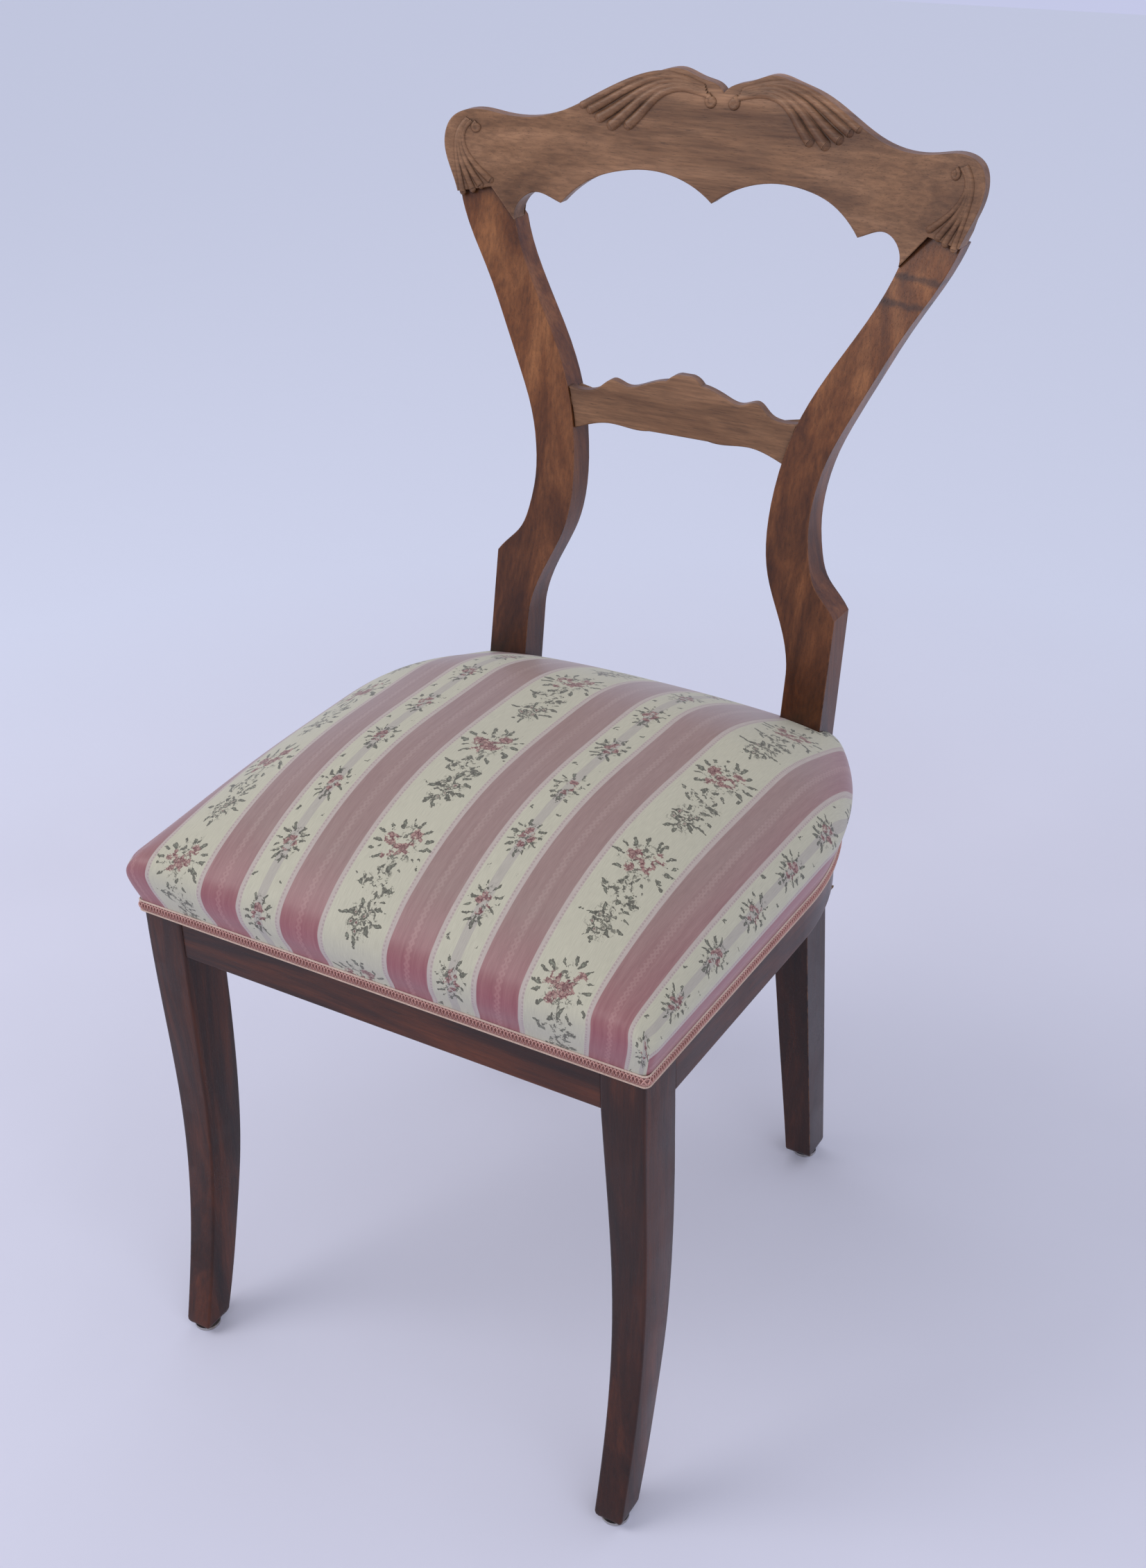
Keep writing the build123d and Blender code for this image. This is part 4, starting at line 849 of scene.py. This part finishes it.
carvingSettings = {
    "faceTop": 265.12, "slope": 0.24008, "bowRadius": 747.1, "height": 930.0, "sink": 0.35,
    # each finger of the right shell: points across and up, in millimetres, with the finger's radius
    "shell": (
        ((13, 912, 2.2), (30, 917, 2.8), (46, 916, 3.2), (60, 907, 3.8), (70, 894, 4.6), (78, 887, 5.0)),
        ((14, 914, 2.0), (34, 920, 2.6), (54, 917, 3.2), (72, 905, 4.0), (84, 892, 5.0), (92, 886, 5.2)),
        ((15, 916, 2.0), (38, 923, 2.4), (60, 919, 3.0), (80, 906, 3.8), (95, 895, 4.6), (103, 891, 4.8)),
        ((16, 918, 1.9), (42, 926, 2.2), (64, 922, 2.8), (86, 911, 3.4), (102, 901, 4.0), (111, 896.5, 4.2)),
        ((17, 919, 1.8), (44, 928, 2.0), (66, 925, 2.4), (90, 915, 2.8), (106, 906, 3.2), (118, 899.5, 3.4)),
    ),
    "shellScroll": (9.5, 908.5, 6.4),
    "ear": (
        ((208, 885, 1.8), (215, 879, 2.0), (215, 868, 2.0), (206, 855, 2.4), (196, 846, 3.0), (189, 841, 3.2)),
        ((210, 886, 1.8), (217, 879, 2.0), (216.5, 866, 2.0), (209, 852, 2.5), (201, 842, 3.1), (197, 837, 3.3)),
        ((211, 886.5, 1.8), (218.5, 879, 2.0), (218, 865, 2.0), (212.5, 850, 2.5), (206, 839, 3.0), (203.5, 834, 3.2)),
        ((212, 887, 1.8), (220, 879, 1.9), (219.5, 864, 1.9), (216, 849, 2.2), (212.5, 838, 2.6), (211, 831.5, 2.8)),
    ),
    "earScroll": (203.5, 880.5, 5.4),
}


def crestFace(x, z):
    s = carvingSettings
    bow = s["bowRadius"] - math.sqrt(s["bowRadius"] ** 2 - x * x)
    return s["faceTop"] - (s["height"] - z) * s["slope"] - bow


def copyOfNode(name):
    source = bpy.data.objects[name]
    piece = bpy.data.objects.new(name + "Copy", source.data.copy())
    bpy.context.scene.collection.objects.link(piece)
    makeActive(piece)
    bpy.ops.mesh.customdata_custom_splitnormals_clear()
    inEditMode(piece, lambda: bpy.ops.mesh.select_all(action="SELECT"), lambda: bpy.ops.mesh.remove_doubles(threshold=0.00001))
    return piece


def flatBoard(node, faceDepth, b):
    # the board's own outline, laid flat, given its thickness again with eased edges, and bent back to its bow
    board = copyOfNode(node)
    for point in board.data.vertices:
        point.co.y -= faceDepth(point.co) / 1000
    selectFaces(board, lambda face: any(board.data.vertices[i].co.y > 0.0012 for i in face.vertices))
    inEditMode(board, lambda: bpy.ops.mesh.select_mode(type="FACE"), lambda: bpy.ops.mesh.delete(type="FACE"))
    inEditMode(board, lambda: bpy.ops.mesh.select_all(action="SELECT"), lambda: bpy.ops.mesh.dissolve_faces())
    for point in board.data.vertices:
        point.co.y = b["frontEase"]
    outline = [point.co.copy() for point in board.data.vertices]
    body = b["thick"] - b["frontEase"] - sum(depth for width, depth in b["backEase"])
    inEditMode(
        board,
        lambda: bpy.ops.mesh.select_all(action="SELECT"),
        lambda: bpy.ops.mesh.normals_make_consistent(inside=False),
    )
    if board.data.polygons[0].normal.y > 0:
        inEditMode(board, lambda: bpy.ops.mesh.select_all(action="SELECT"), lambda: bpy.ops.mesh.flip_normals())
    applyModifier(board, "SOLIDIFY", thickness=body, offset=-1)
    for width, depth in b["backEase"]:
        far = max(point.co.y for point in board.data.vertices) - 0.0001
        selectFaces(board, lambda face: all(board.data.vertices[i].co.y > far for i in face.vertices))
        inEditMode(board, lambda: bpy.ops.mesh.select_mode(type="FACE"), lambda: bpy.ops.mesh.inset(thickness=width, depth=depth))
    selectFaces(board, lambda face: all(board.data.vertices[i].co.y < b["frontEase"] + 0.0001 for i in face.vertices))
    inEditMode(board, lambda: bpy.ops.mesh.select_mode(type="FACE"), lambda: bpy.ops.mesh.inset(thickness=b["frontEase"] * 1.2, depth=b["frontEase"]))
    # where it stands on a stile the edge behind stays full
    for point in board.data.vertices:
        if b["full"](point.co) and point.co.y > body:
            home = min(outline, key=lambda place: math.hypot(place.x - point.co.x, place.z - point.co.z))
            point.co = (home.x, b["thick"], home.z)
    steps = int(b["half"] / b["step"])
    for i in range(-steps, steps + 1):
        inEditMode(board, lambda: bpy.ops.mesh.select_all(action="SELECT"), lambda: bpy.ops.mesh.bisect(plane_co=(i * b["step"], 0, 0), plane_no=(1, 0, 0)))
    for point in board.data.vertices:
        point.co.y += faceDepth(point.co) / 1000
    inEditMode(
        board,
        lambda: bpy.ops.mesh.select_all(action="SELECT"),
        lambda: bpy.ops.mesh.remove_doubles(threshold=0.00002),
        lambda: bpy.ops.mesh.quads_convert_to_tris(),
        lambda: bpy.ops.mesh.normals_make_consistent(inside=False),
    )
    return board


def crestDepth(point):
    return crestFace(point.x * 1000, point.z * 1000)


def crossDepth(point):
    reach = boardSettings["cross"]["bowRadius"]
    return 128 + (point.z * 1000 - 410) * 0.218 + 7 - (reach - math.sqrt(reach ** 2 - (point.x * 1000) ** 2))


boardSettings = {
    "crest": {
        "thick": 0.0174, "frontEase": 0.0006, "backEase": ((0.0030, 0.0045), (0.0028, 0.0024)), "half": 0.229, "step": 0.011,
        "full": lambda place: abs(place.x) > 0.160 and place.z < 0.846,
    },
    "cross": {
        "thick": 0.0133, "frontEase": 0.0006, "backEase": ((0.0018, 0.0036), (0.0020, 0.0020)), "half": 0.115, "step": 0.011,
        "bowRadius": 1641.0, "full": lambda place: abs(place.x) > 0.108,
    },
}
backSettings = {
    "turnFrom": 0.56, "turnTo": 0.82, "turn": 0.24,
}
# middle of a stile at each height
stileMiddle = ((0.55, 0.121), (0.59, 0.110), (0.64, 0.1085), (0.668, 0.1145), (0.70, 0.127), (0.736, 0.1455), (0.771, 0.1655), (0.804, 0.183), (0.84, 0.201))


def turnStile(piece, s):
    # a stile's face turns with the bow of the crest rail above it
    for point in piece.data.vertices:
        z = point.co.z
        if z > s["turnFrom"]:
            share = min(1, (z - s["turnFrom"]) / (s["turnTo"] - s["turnFrom"]))
            point.co.y -= s["turn"] * share * (abs(point.co.x) - alongLine(stileMiddle, z))


def roundFoot(piece, soleHeight=0.003, from_=0.010, keep=0.66):
    # the lower end is rounded off towards the glide
    for level in (from_, (from_ + soleHeight) / 2 + 0.001):
        inEditMode(piece, lambda: bpy.ops.mesh.select_all(action="SELECT"), lambda: bpy.ops.mesh.bisect(plane_co=(0, 0, level), plane_no=(0, 0, 1)))
    low = [point for point in piece.data.vertices if point.co.z < from_ - 0.0005]
    middle = sum((point.co for point in low), Vector()) / len(low)
    for point in low:
        part = (from_ - point.co.z) / (from_ - soleHeight)
        share = 1 - (1 - keep) * part ** 2
        point.co.x = middle.x + (point.co.x - middle.x) * share
        point.co.y = middle.y + (point.co.y - middle.y) * share


def makeWoodwork(s):
    crest = flatBoard("crest_rail", crestDepth, boardSettings["crest"])
    finishPiece(crest, "crestRail", crestWalnut, 20, ("crest_rail",))
    cross = flatBoard("cross_rail", crossDepth, boardSettings["cross"])
    finishPiece(cross, "crossRail", crestWalnut, 20, ("cross_rail",))
    dowels = copyOfNode("crest_dowels")
    turnStile(dowels, s)
    finishPiece(dowels, "crestDowels", rawBeech, 30, ("crest_dowels",))
    for side in ("left", "right"):
        post = copyOfNode("rear_post_" + side)
        turnStile(post, s)
        roundFoot(post)
        finishPiece(post, "rearPost" + side.capitalize(), mendedWalnut if side == "right" else postWalnut, 30, ("rear_post_" + side,))
        leg = copyOfNode("front_leg_" + side)
        roundFoot(leg)
        finishPiece(leg, "frontLeg" + side.capitalize(), legWalnut, 30, ("front_leg_" + side,))


makeWoodwork(backSettings)
print("woodwork: edges eased")


# carving: fluted shells and scrolls on the crest rail, from rounded fingers that swell towards their ends

def fingerPiece(points, sides=10):
    # a round bar along a smooth line, thicker where its points say so
    deselectAll()
    bpy.ops.curve.primitive_nurbs_path_add(location=(0, 0, 0))
    path = bpy.context.object
    spline = path.data.splines[0]
    while len(spline.points) < len(points):
        spline.points.add(1)
    for point, (x, y, z, radius) in zip(spline.points, points):
        point.co = (x / 1000, y / 1000, z / 1000, 1)
        point.radius = radius / 1000
    if len(points) < len(spline.points):
        raise ValueError("a finger needs five points or more")
    spline.order_u = 4
    spline.use_endpoint_u = True
    spline.resolution_u = 5
    path.data.dimensions = "3D"
    path.data.bevel_depth = 1.0
    path.data.bevel_resolution = max(1, sides // 2 - 2)
    path.data.use_fill_caps = True
    bpy.ops.object.convert(target="MESH")
    return bpy.context.object


def roundEnd(x, y, z, radius, squash=0.75):
    deselectAll()
    bpy.ops.mesh.primitive_uv_sphere_add(segments=14, ring_count=8, radius=radius / 1000, location=(x / 1000, y / 1000, z / 1000))
    ball = bpy.context.object
    ball.scale = (1, squash, 1)
    makeActive(ball)
    bpy.ops.object.transform_apply(location=True, rotation=True, scale=True)
    return ball


def carvedFan(fingers, scroll, side):
    s = carvingSettings
    made = []
    for finger in fingers:
        points = [(x * side, crestFace(x, z) + r * s["sink"], z, r) for x, z, r in finger]
        made.append(fingerPiece(points))
        x, z, r = finger[-1]
        made.append(roundEnd(x * side, crestFace(x, z) + r * s["sink"], z, r))
    cx, cz, radius = scroll
    turns = []
    for i in range(9):
        angle = math.radians(80 - i * 52)
        reach = radius * (0.74 - 0.055 * i)
        x, z = cx + reach * math.cos(angle), cz + reach * math.sin(angle)
        turns.append((x * side, crestFace(x, z) + 0.2, z, radius * (0.36 - 0.015 * i)))
    made.append(fingerPiece(turns, 8))
    made.append(roundEnd(cx * side, crestFace(cx, cz) + 0.6, cz, radius * 0.62, 0.55))
    return made


def makeCarving():
    s = carvingSettings
    for side, word in ((-1, "Left"), (1, "Right")):
        shell = joinPieces(carvedFan(s["shell"], s["shellScroll"], side))
        finishPiece(shell, "crestShell" + word, crestWalnut, 60)
        ear = joinPieces(carvedFan(s["ear"], s["earScroll"], side))
        finishPiece(ear, "earFan" + word, crestWalnut, 60)


makeCarving()
print("carving: made")


# gimp: a flat braid of three waving cords between two edge cords, round the cover's lower edge

gimpSettings = {
    "low": 398.1, "high": 408.5, "standOff": 1.5, "repeat": 8.4, "steps": 10, "wave": 2.7, "cord": 0.82, "edgeCord": 0.9,
    "lift": 0.75, "cornerRound": 3.0, "lineStep": 0.8, "postStop": 150.0, "behindHalf": 121.0,
}


def outlineLoop(grow):
    # the seat's outline, from one rear post round the front to the other
    s, g = seatSettings, gimpSettings
    front, corner = s["front"] - grow, g["cornerRound"]
    half, y = [], g["postStop"]
    while y > front + corner:
        half.append((halfWidth(y, grow), y))
        y -= g["lineStep"]
    side = halfWidth(front, grow)
    for i in range(7):
        angle = math.radians(90 * i / 6)
        half.append((side - corner + corner * math.cos(angle), front + corner - corner * math.sin(angle)))
    x = side - corner - g["lineStep"]
    while x > 0:
        half.append((x, front))
        x -= g["lineStep"]
    return half + [(-x, y) for x, y in reversed(half)]


def drawStrand(offset, radius, sides=4):
    # one repeat of a cord: a ring is drawn out along the braid, up and out by what the offset says
    g = gimpSettings
    deselectAll()
    bpy.ops.mesh.primitive_circle_add(vertices=sides, radius=radius, location=(0, 0, 0), rotation=(0, math.radians(90), 0))
    strand = bpy.context.object
    makeActive(strand)
    bpy.ops.object.transform_apply(location=True, rotation=True, scale=True)
    up, out = offset(0)
    inEditMode(strand, lambda: bpy.ops.mesh.select_all(action="SELECT"), lambda: bpy.ops.transform.translate(value=(0, out, up)))
    makeActive(strand)
    bpy.ops.object.mode_set(mode="EDIT")
    bpy.ops.mesh.select_mode(type="EDGE")
    bpy.ops.mesh.select_all(action="SELECT")
    for i in range(1, g["steps"] + 1):
        nextUp, nextOut = offset(i / g["steps"])
        bpy.ops.mesh.extrude_region_move(TRANSFORM_OT_translate={"value": (g["repeat"] / g["steps"], nextOut - out, nextUp - up)})
        up, out = nextUp, nextOut
    bpy.ops.object.mode_set(mode="OBJECT")
    return strand


def braidRepeat():
    g = gimpSettings
    middle = (g["low"] + g["high"]) / 2
    strands = []
    for k in range(3):
        def woven(t, k=k):
            turn = math.tau * (t + k / 3)
            return middle + g["wave"] * math.sin(turn), g["standOff"] + g["lift"] * math.cos(2 * turn)
        strands.append(drawStrand(woven, g["cord"]))
    for level in (g["low"] + g["edgeCord"], g["high"] - g["edgeCord"]):
        strands.append(drawStrand(lambda t, level=level: (level, g["standOff"] - 0.35 + 0.25 * math.sin(math.tau * 5 * t)), g["edgeCord"]))
    deselectAll()
    bpy.ops.mesh.primitive_cube_add(size=1, location=(g["repeat"] / 2, 0.45, middle))
    web = bpy.context.object
    web.scale = (g["repeat"], 0.9, g["high"] - g["low"] - 1.6)
    makeActive(web)
    bpy.ops.object.transform_apply(location=True, rotation=True, scale=True)
    inEditMode(web, lambda: bpy.ops.mesh.select_all(action="SELECT"), lambda: bpy.ops.mesh.subdivide(number_cuts=3))
    return joinPieces([web] + strands)


def layBraid(line):
    # the straight braid is repeated to the line's length and bent round it
    g = gimpSettings
    lengths = [0.0]
    for (x0, y0), (x1, y1) in zip(line, line[1:]):
        lengths.append(lengths[-1] + math.hypot(x1 - x0, y1 - y0))
    count = round(lengths[-1] / g["repeat"])
    braid = braidRepeat()
    applyModifier(braid, "ARRAY", count=count, use_merge_vertices=True, merge_threshold=0.01)
    fit = lengths[-1] / (count * g["repeat"])
    for point in braid.data.vertices:
        place = min(lengths[-1], max(0, point.co.x * fit))
        k = min(len(lengths) - 2, max(0, bisect.bisect_right(lengths, place) - 1))
        (x0, y0), (x1, y1) = line[k], line[k + 1]
        share = (place - lengths[k]) / (lengths[k + 1] - lengths[k])
        before, after = line[max(0, k - 1)], line[min(len(line) - 1, k + 2)]
        tangent = Vector((after[0] - before[0], after[1] - before[1])).normalized()
        out = point.co.y
        point.co = ((x0 + (x1 - x0) * share - tangent.y * out) / 1000, (y0 + (y1 - y0) * share + tangent.x * out) / 1000, point.co.z / 1000)
    inEditMode(braid, lambda: bpy.ops.mesh.select_all(action="SELECT"), lambda: bpy.ops.mesh.normals_make_consistent(inside=False))
    return braid


def gimpThread(name):
    material, tree, shader = startMaterial(name)
    place = objectPlace(tree)
    ply = noiseOf(tree, place, 1400, 3, 0.6)
    rose = rampOf(tree, ply, [(0.3, (0.50, 0.23, 0.21)), (0.55, (0.66, 0.38, 0.34)), (0.75, (0.78, 0.54, 0.49))])
    pale = rampOf(tree, ply, [(0.3, (0.52, 0.37, 0.31)), (0.7, (0.72, 0.58, 0.50))])
    height = put(tree, "ShaderNodeSeparateXYZ", {0: place}).outputs["Z"]
    fromMiddle = calc(tree, "ABSOLUTE", calc(tree, "SUBTRACT", height, 0.4033))
    colour = blendColour(tree, rangeOf(tree, fromMiddle, 0.0033, 0.0037), rose, pale)
    cloud = noiseOf(tree, place, 35, 3)
    colour = blendColour(tree, 0.35, colour, rampOf(tree, cloud, [(0.35, (0.75, 0.66, 0.62)), (0.65, (1.05, 1.02, 1.0))]), "MULTIPLY")
    # painted shade: the ambient occlusion darkens the braid between and under the cords; it also stands for the darker
    # web thread behind them
    hollow = put(tree, "ShaderNodeAmbientOcclusion", {"Distance": 0.0018}, samples=4).outputs["AO"]
    colour = blendColour(tree, rangeOf(tree, hollow, 0.3, 0.85, 0.75, 0.0), colour, (0.22, 0.06, 0.055, 1))
    tree.links.new(colour, shader.inputs["Base Color"])
    shader.inputs["Roughness"].default_value = 0.6
    shader.inputs["Sheen Weight"].default_value = 0.25
    bump = put(tree, "ShaderNodeBump", {"Strength": 0.5, "Distance": 0.0003, "Height": ply})
    tree.links.new(bump.outputs["Normal"], shader.inputs["Normal"])
    return material


gimpFinish = gimpThread("gimpThread")


def makeGimp():
    g, grow = gimpSettings, seatSettings["lap"]
    rear, half = seatSettings["rear"] + grow, gimpSettings["behindHalf"]
    behind = [(-half + i, rear) for i in range(int(half * 2) + 1)]
    braid = joinPieces([layBraid(outlineLoop(grow)), layBraid(behind)])
    finishPiece(braid, "gimpBraid", gimpFinish, 60, ("gimp_braid",))


makeGimp()
print("gimp: made")


# canvas over the springs and the webbing below them

underSettings = {
    "canvasTop": 468.6, "canvasSeat": 411.0, "flatInset": 50.0, "edgeInset": 12.0, "cells": 34,
    "strapWidth": 54.0, "strapThick": 1.5, "laps": 18.0, "pitchX": 91.0, "pitchY": 98.0, "midY": -47.0, "midZ": 363.3,
    "weave": 0.9, "easeFrom": 30.0, "easeTo": 45.0,
}


def makeCanvas():
    s, seatLine = underSettings, seatSettings
    deselectAll()
    bpy.ops.mesh.primitive_grid_add(x_subdivisions=s["cells"], y_subdivisions=s["cells"], size=2)
    canvas = bpy.context.object
    for point in canvas.data.vertices:
        a, b = point.co.x, point.co.y
        inset = s["edgeInset"]
        front, rear = seatLine["front"] + inset, seatLine["rear"] - inset
        y = front + (b + 1) / 2 * (rear - front)
        x = a * halfWidth(y, -inset)
        edge = min(halfWidth(y, -inset) - abs(x), y - front, rear - y)
        share = min(1, max(0, edge / (s["flatInset"] - inset)))
        ease = share * share * (3 - 2 * share)
        point.co = (x / 1000, y / 1000, (s["canvasSeat"] + (s["canvasTop"] - s["canvasSeat"]) * (0.65 * share + 0.35 * ease)) / 1000)
    nameCloth(canvas)
    applyModifier(canvas, "SOLIDIFY", thickness=0.0008, offset=-1)
    finishPiece(canvas, "springCanvas", hessian, 60, ("spring_canvas",))


def nameCloth(piece):
    # the cloth's own map: metres along and across, so that the weave keeps its size
    if not piece.data.uv_layers:
        piece.data.uv_layers.new(name="cloth")
    cloth = piece.data.uv_layers[0]
    cloth.name = "cloth"
    for loop in piece.data.loops:
        place = piece.data.vertices[loop.vertex_index].co
        cloth.data[loop.index].uv = (place.x, place.y)


def makeStrap(number, crosswise):
    s = underSettings
    node = "webbing_strap_" + ("crosswise_" if crosswise else "lengthwise_") + str(number + 1)
    low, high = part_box(node)
    axis = 0 if crosswise else 1
    start, stop = low[axis] * 1000, high[axis] * 1000
    middle = (low[1 - axis] + high[1 - axis]) * 500
    pitch = s["pitchX"] if crosswise else s["pitchY"]
    centre = 0.0 if crosswise else s["midY"]
    over = number % 2 == (1 if crosswise else 0)
    deselectAll()
    bpy.ops.mesh.primitive_grid_add(x_subdivisions=72, y_subdivisions=6, size=1)
    strap = bpy.context.object
    for point in strap.data.vertices:
        along = start + (point.co.x + 0.5) * (stop - start)
        across = middle + point.co.y * s["strapWidth"]
        lift = 0.0
        for i in (-1, 0, 1):
            sign = 1 if over == (i % 2 != 0) else -1
            distance = abs(along - (centre + i * pitch))
            near = min(1, max(0, (s["easeTo"] - distance) / (s["easeTo"] - s["easeFrom"])))
            lift += sign * near * near * (3 - 2 * near)
        ends = max(0, 1 - (along - start) / s["laps"] / 1.6, 1 - (stop - along) / s["laps"] / 1.6)
        lift = lift * (1 - min(1, ends * 3)) + min(1, ends * 3)
        cup = 0.25 * (1 - (2 * point.co.y) ** 2)
        height = s["midZ"] + s["weave"] * lift - cup * (1 - min(1, ends * 3))
        x, y = (along, across) if crosswise else (across, along)
        point.co = (x / 1000, y / 1000, height / 1000)
    nameCloth(strap)
    applyModifier(strap, "SOLIDIFY", thickness=s["strapThick"] / 1000, offset=0)
    finishPiece(strap, node.title().replace("_", ""), juteWebbing, 60, (node,))


makeCanvas()
for crosswise in (False, True):
    for number in range(3):
        makeStrap(number, crosswise)
print("canvas and webbing: made")


# finishes of the carried-over CAD nodes

finishes = {
    "front_leg_left": legWalnut, "front_leg_right": legWalnut,
    "rear_post_left": postWalnut, "rear_post_right": postWalnut,
    "side_seat_rail_left": railWalnutAlong, "side_seat_rail_right": railWalnutAlong,
    "front_seat_rail": railWalnutAcross, "back_seat_rail": railWalnutAcross,
    "crest_rail": crestWalnut, "cross_rail": crestWalnut,
    "front_corner_block_left": rawBeech, "front_corner_block_right": rawBeech,
    "rear_corner_block_left": rawBeech, "rear_corner_block_right": rawBeech,
    "crest_dowels": rawBeech, "corner_block_screws": screwSteel, "webbing_tacks": tackSteel,
    "glide_front_left": glideSteel, "glide_front_right": glideSteel,
    "glide_rear_left": glideSteel, "glide_rear_right": glideSteel,
    "gimp_braid": juteWebbing, "spring_canvas": hessian,
}
for number in range(1, 6):
    finishes["seat_spring_" + str(number)] = springSteel
for number in range(1, 4):
    finishes["webbing_strap_lengthwise_" + str(number)] = juteWebbing
    finishes["webbing_strap_crosswise_" + str(number)] = juteWebbing
for name, material in finishes.items():
    piece = bpy.data.objects[name]
    piece.data.materials.clear()
    piece.data.materials.append(material)
print("finishes: set")
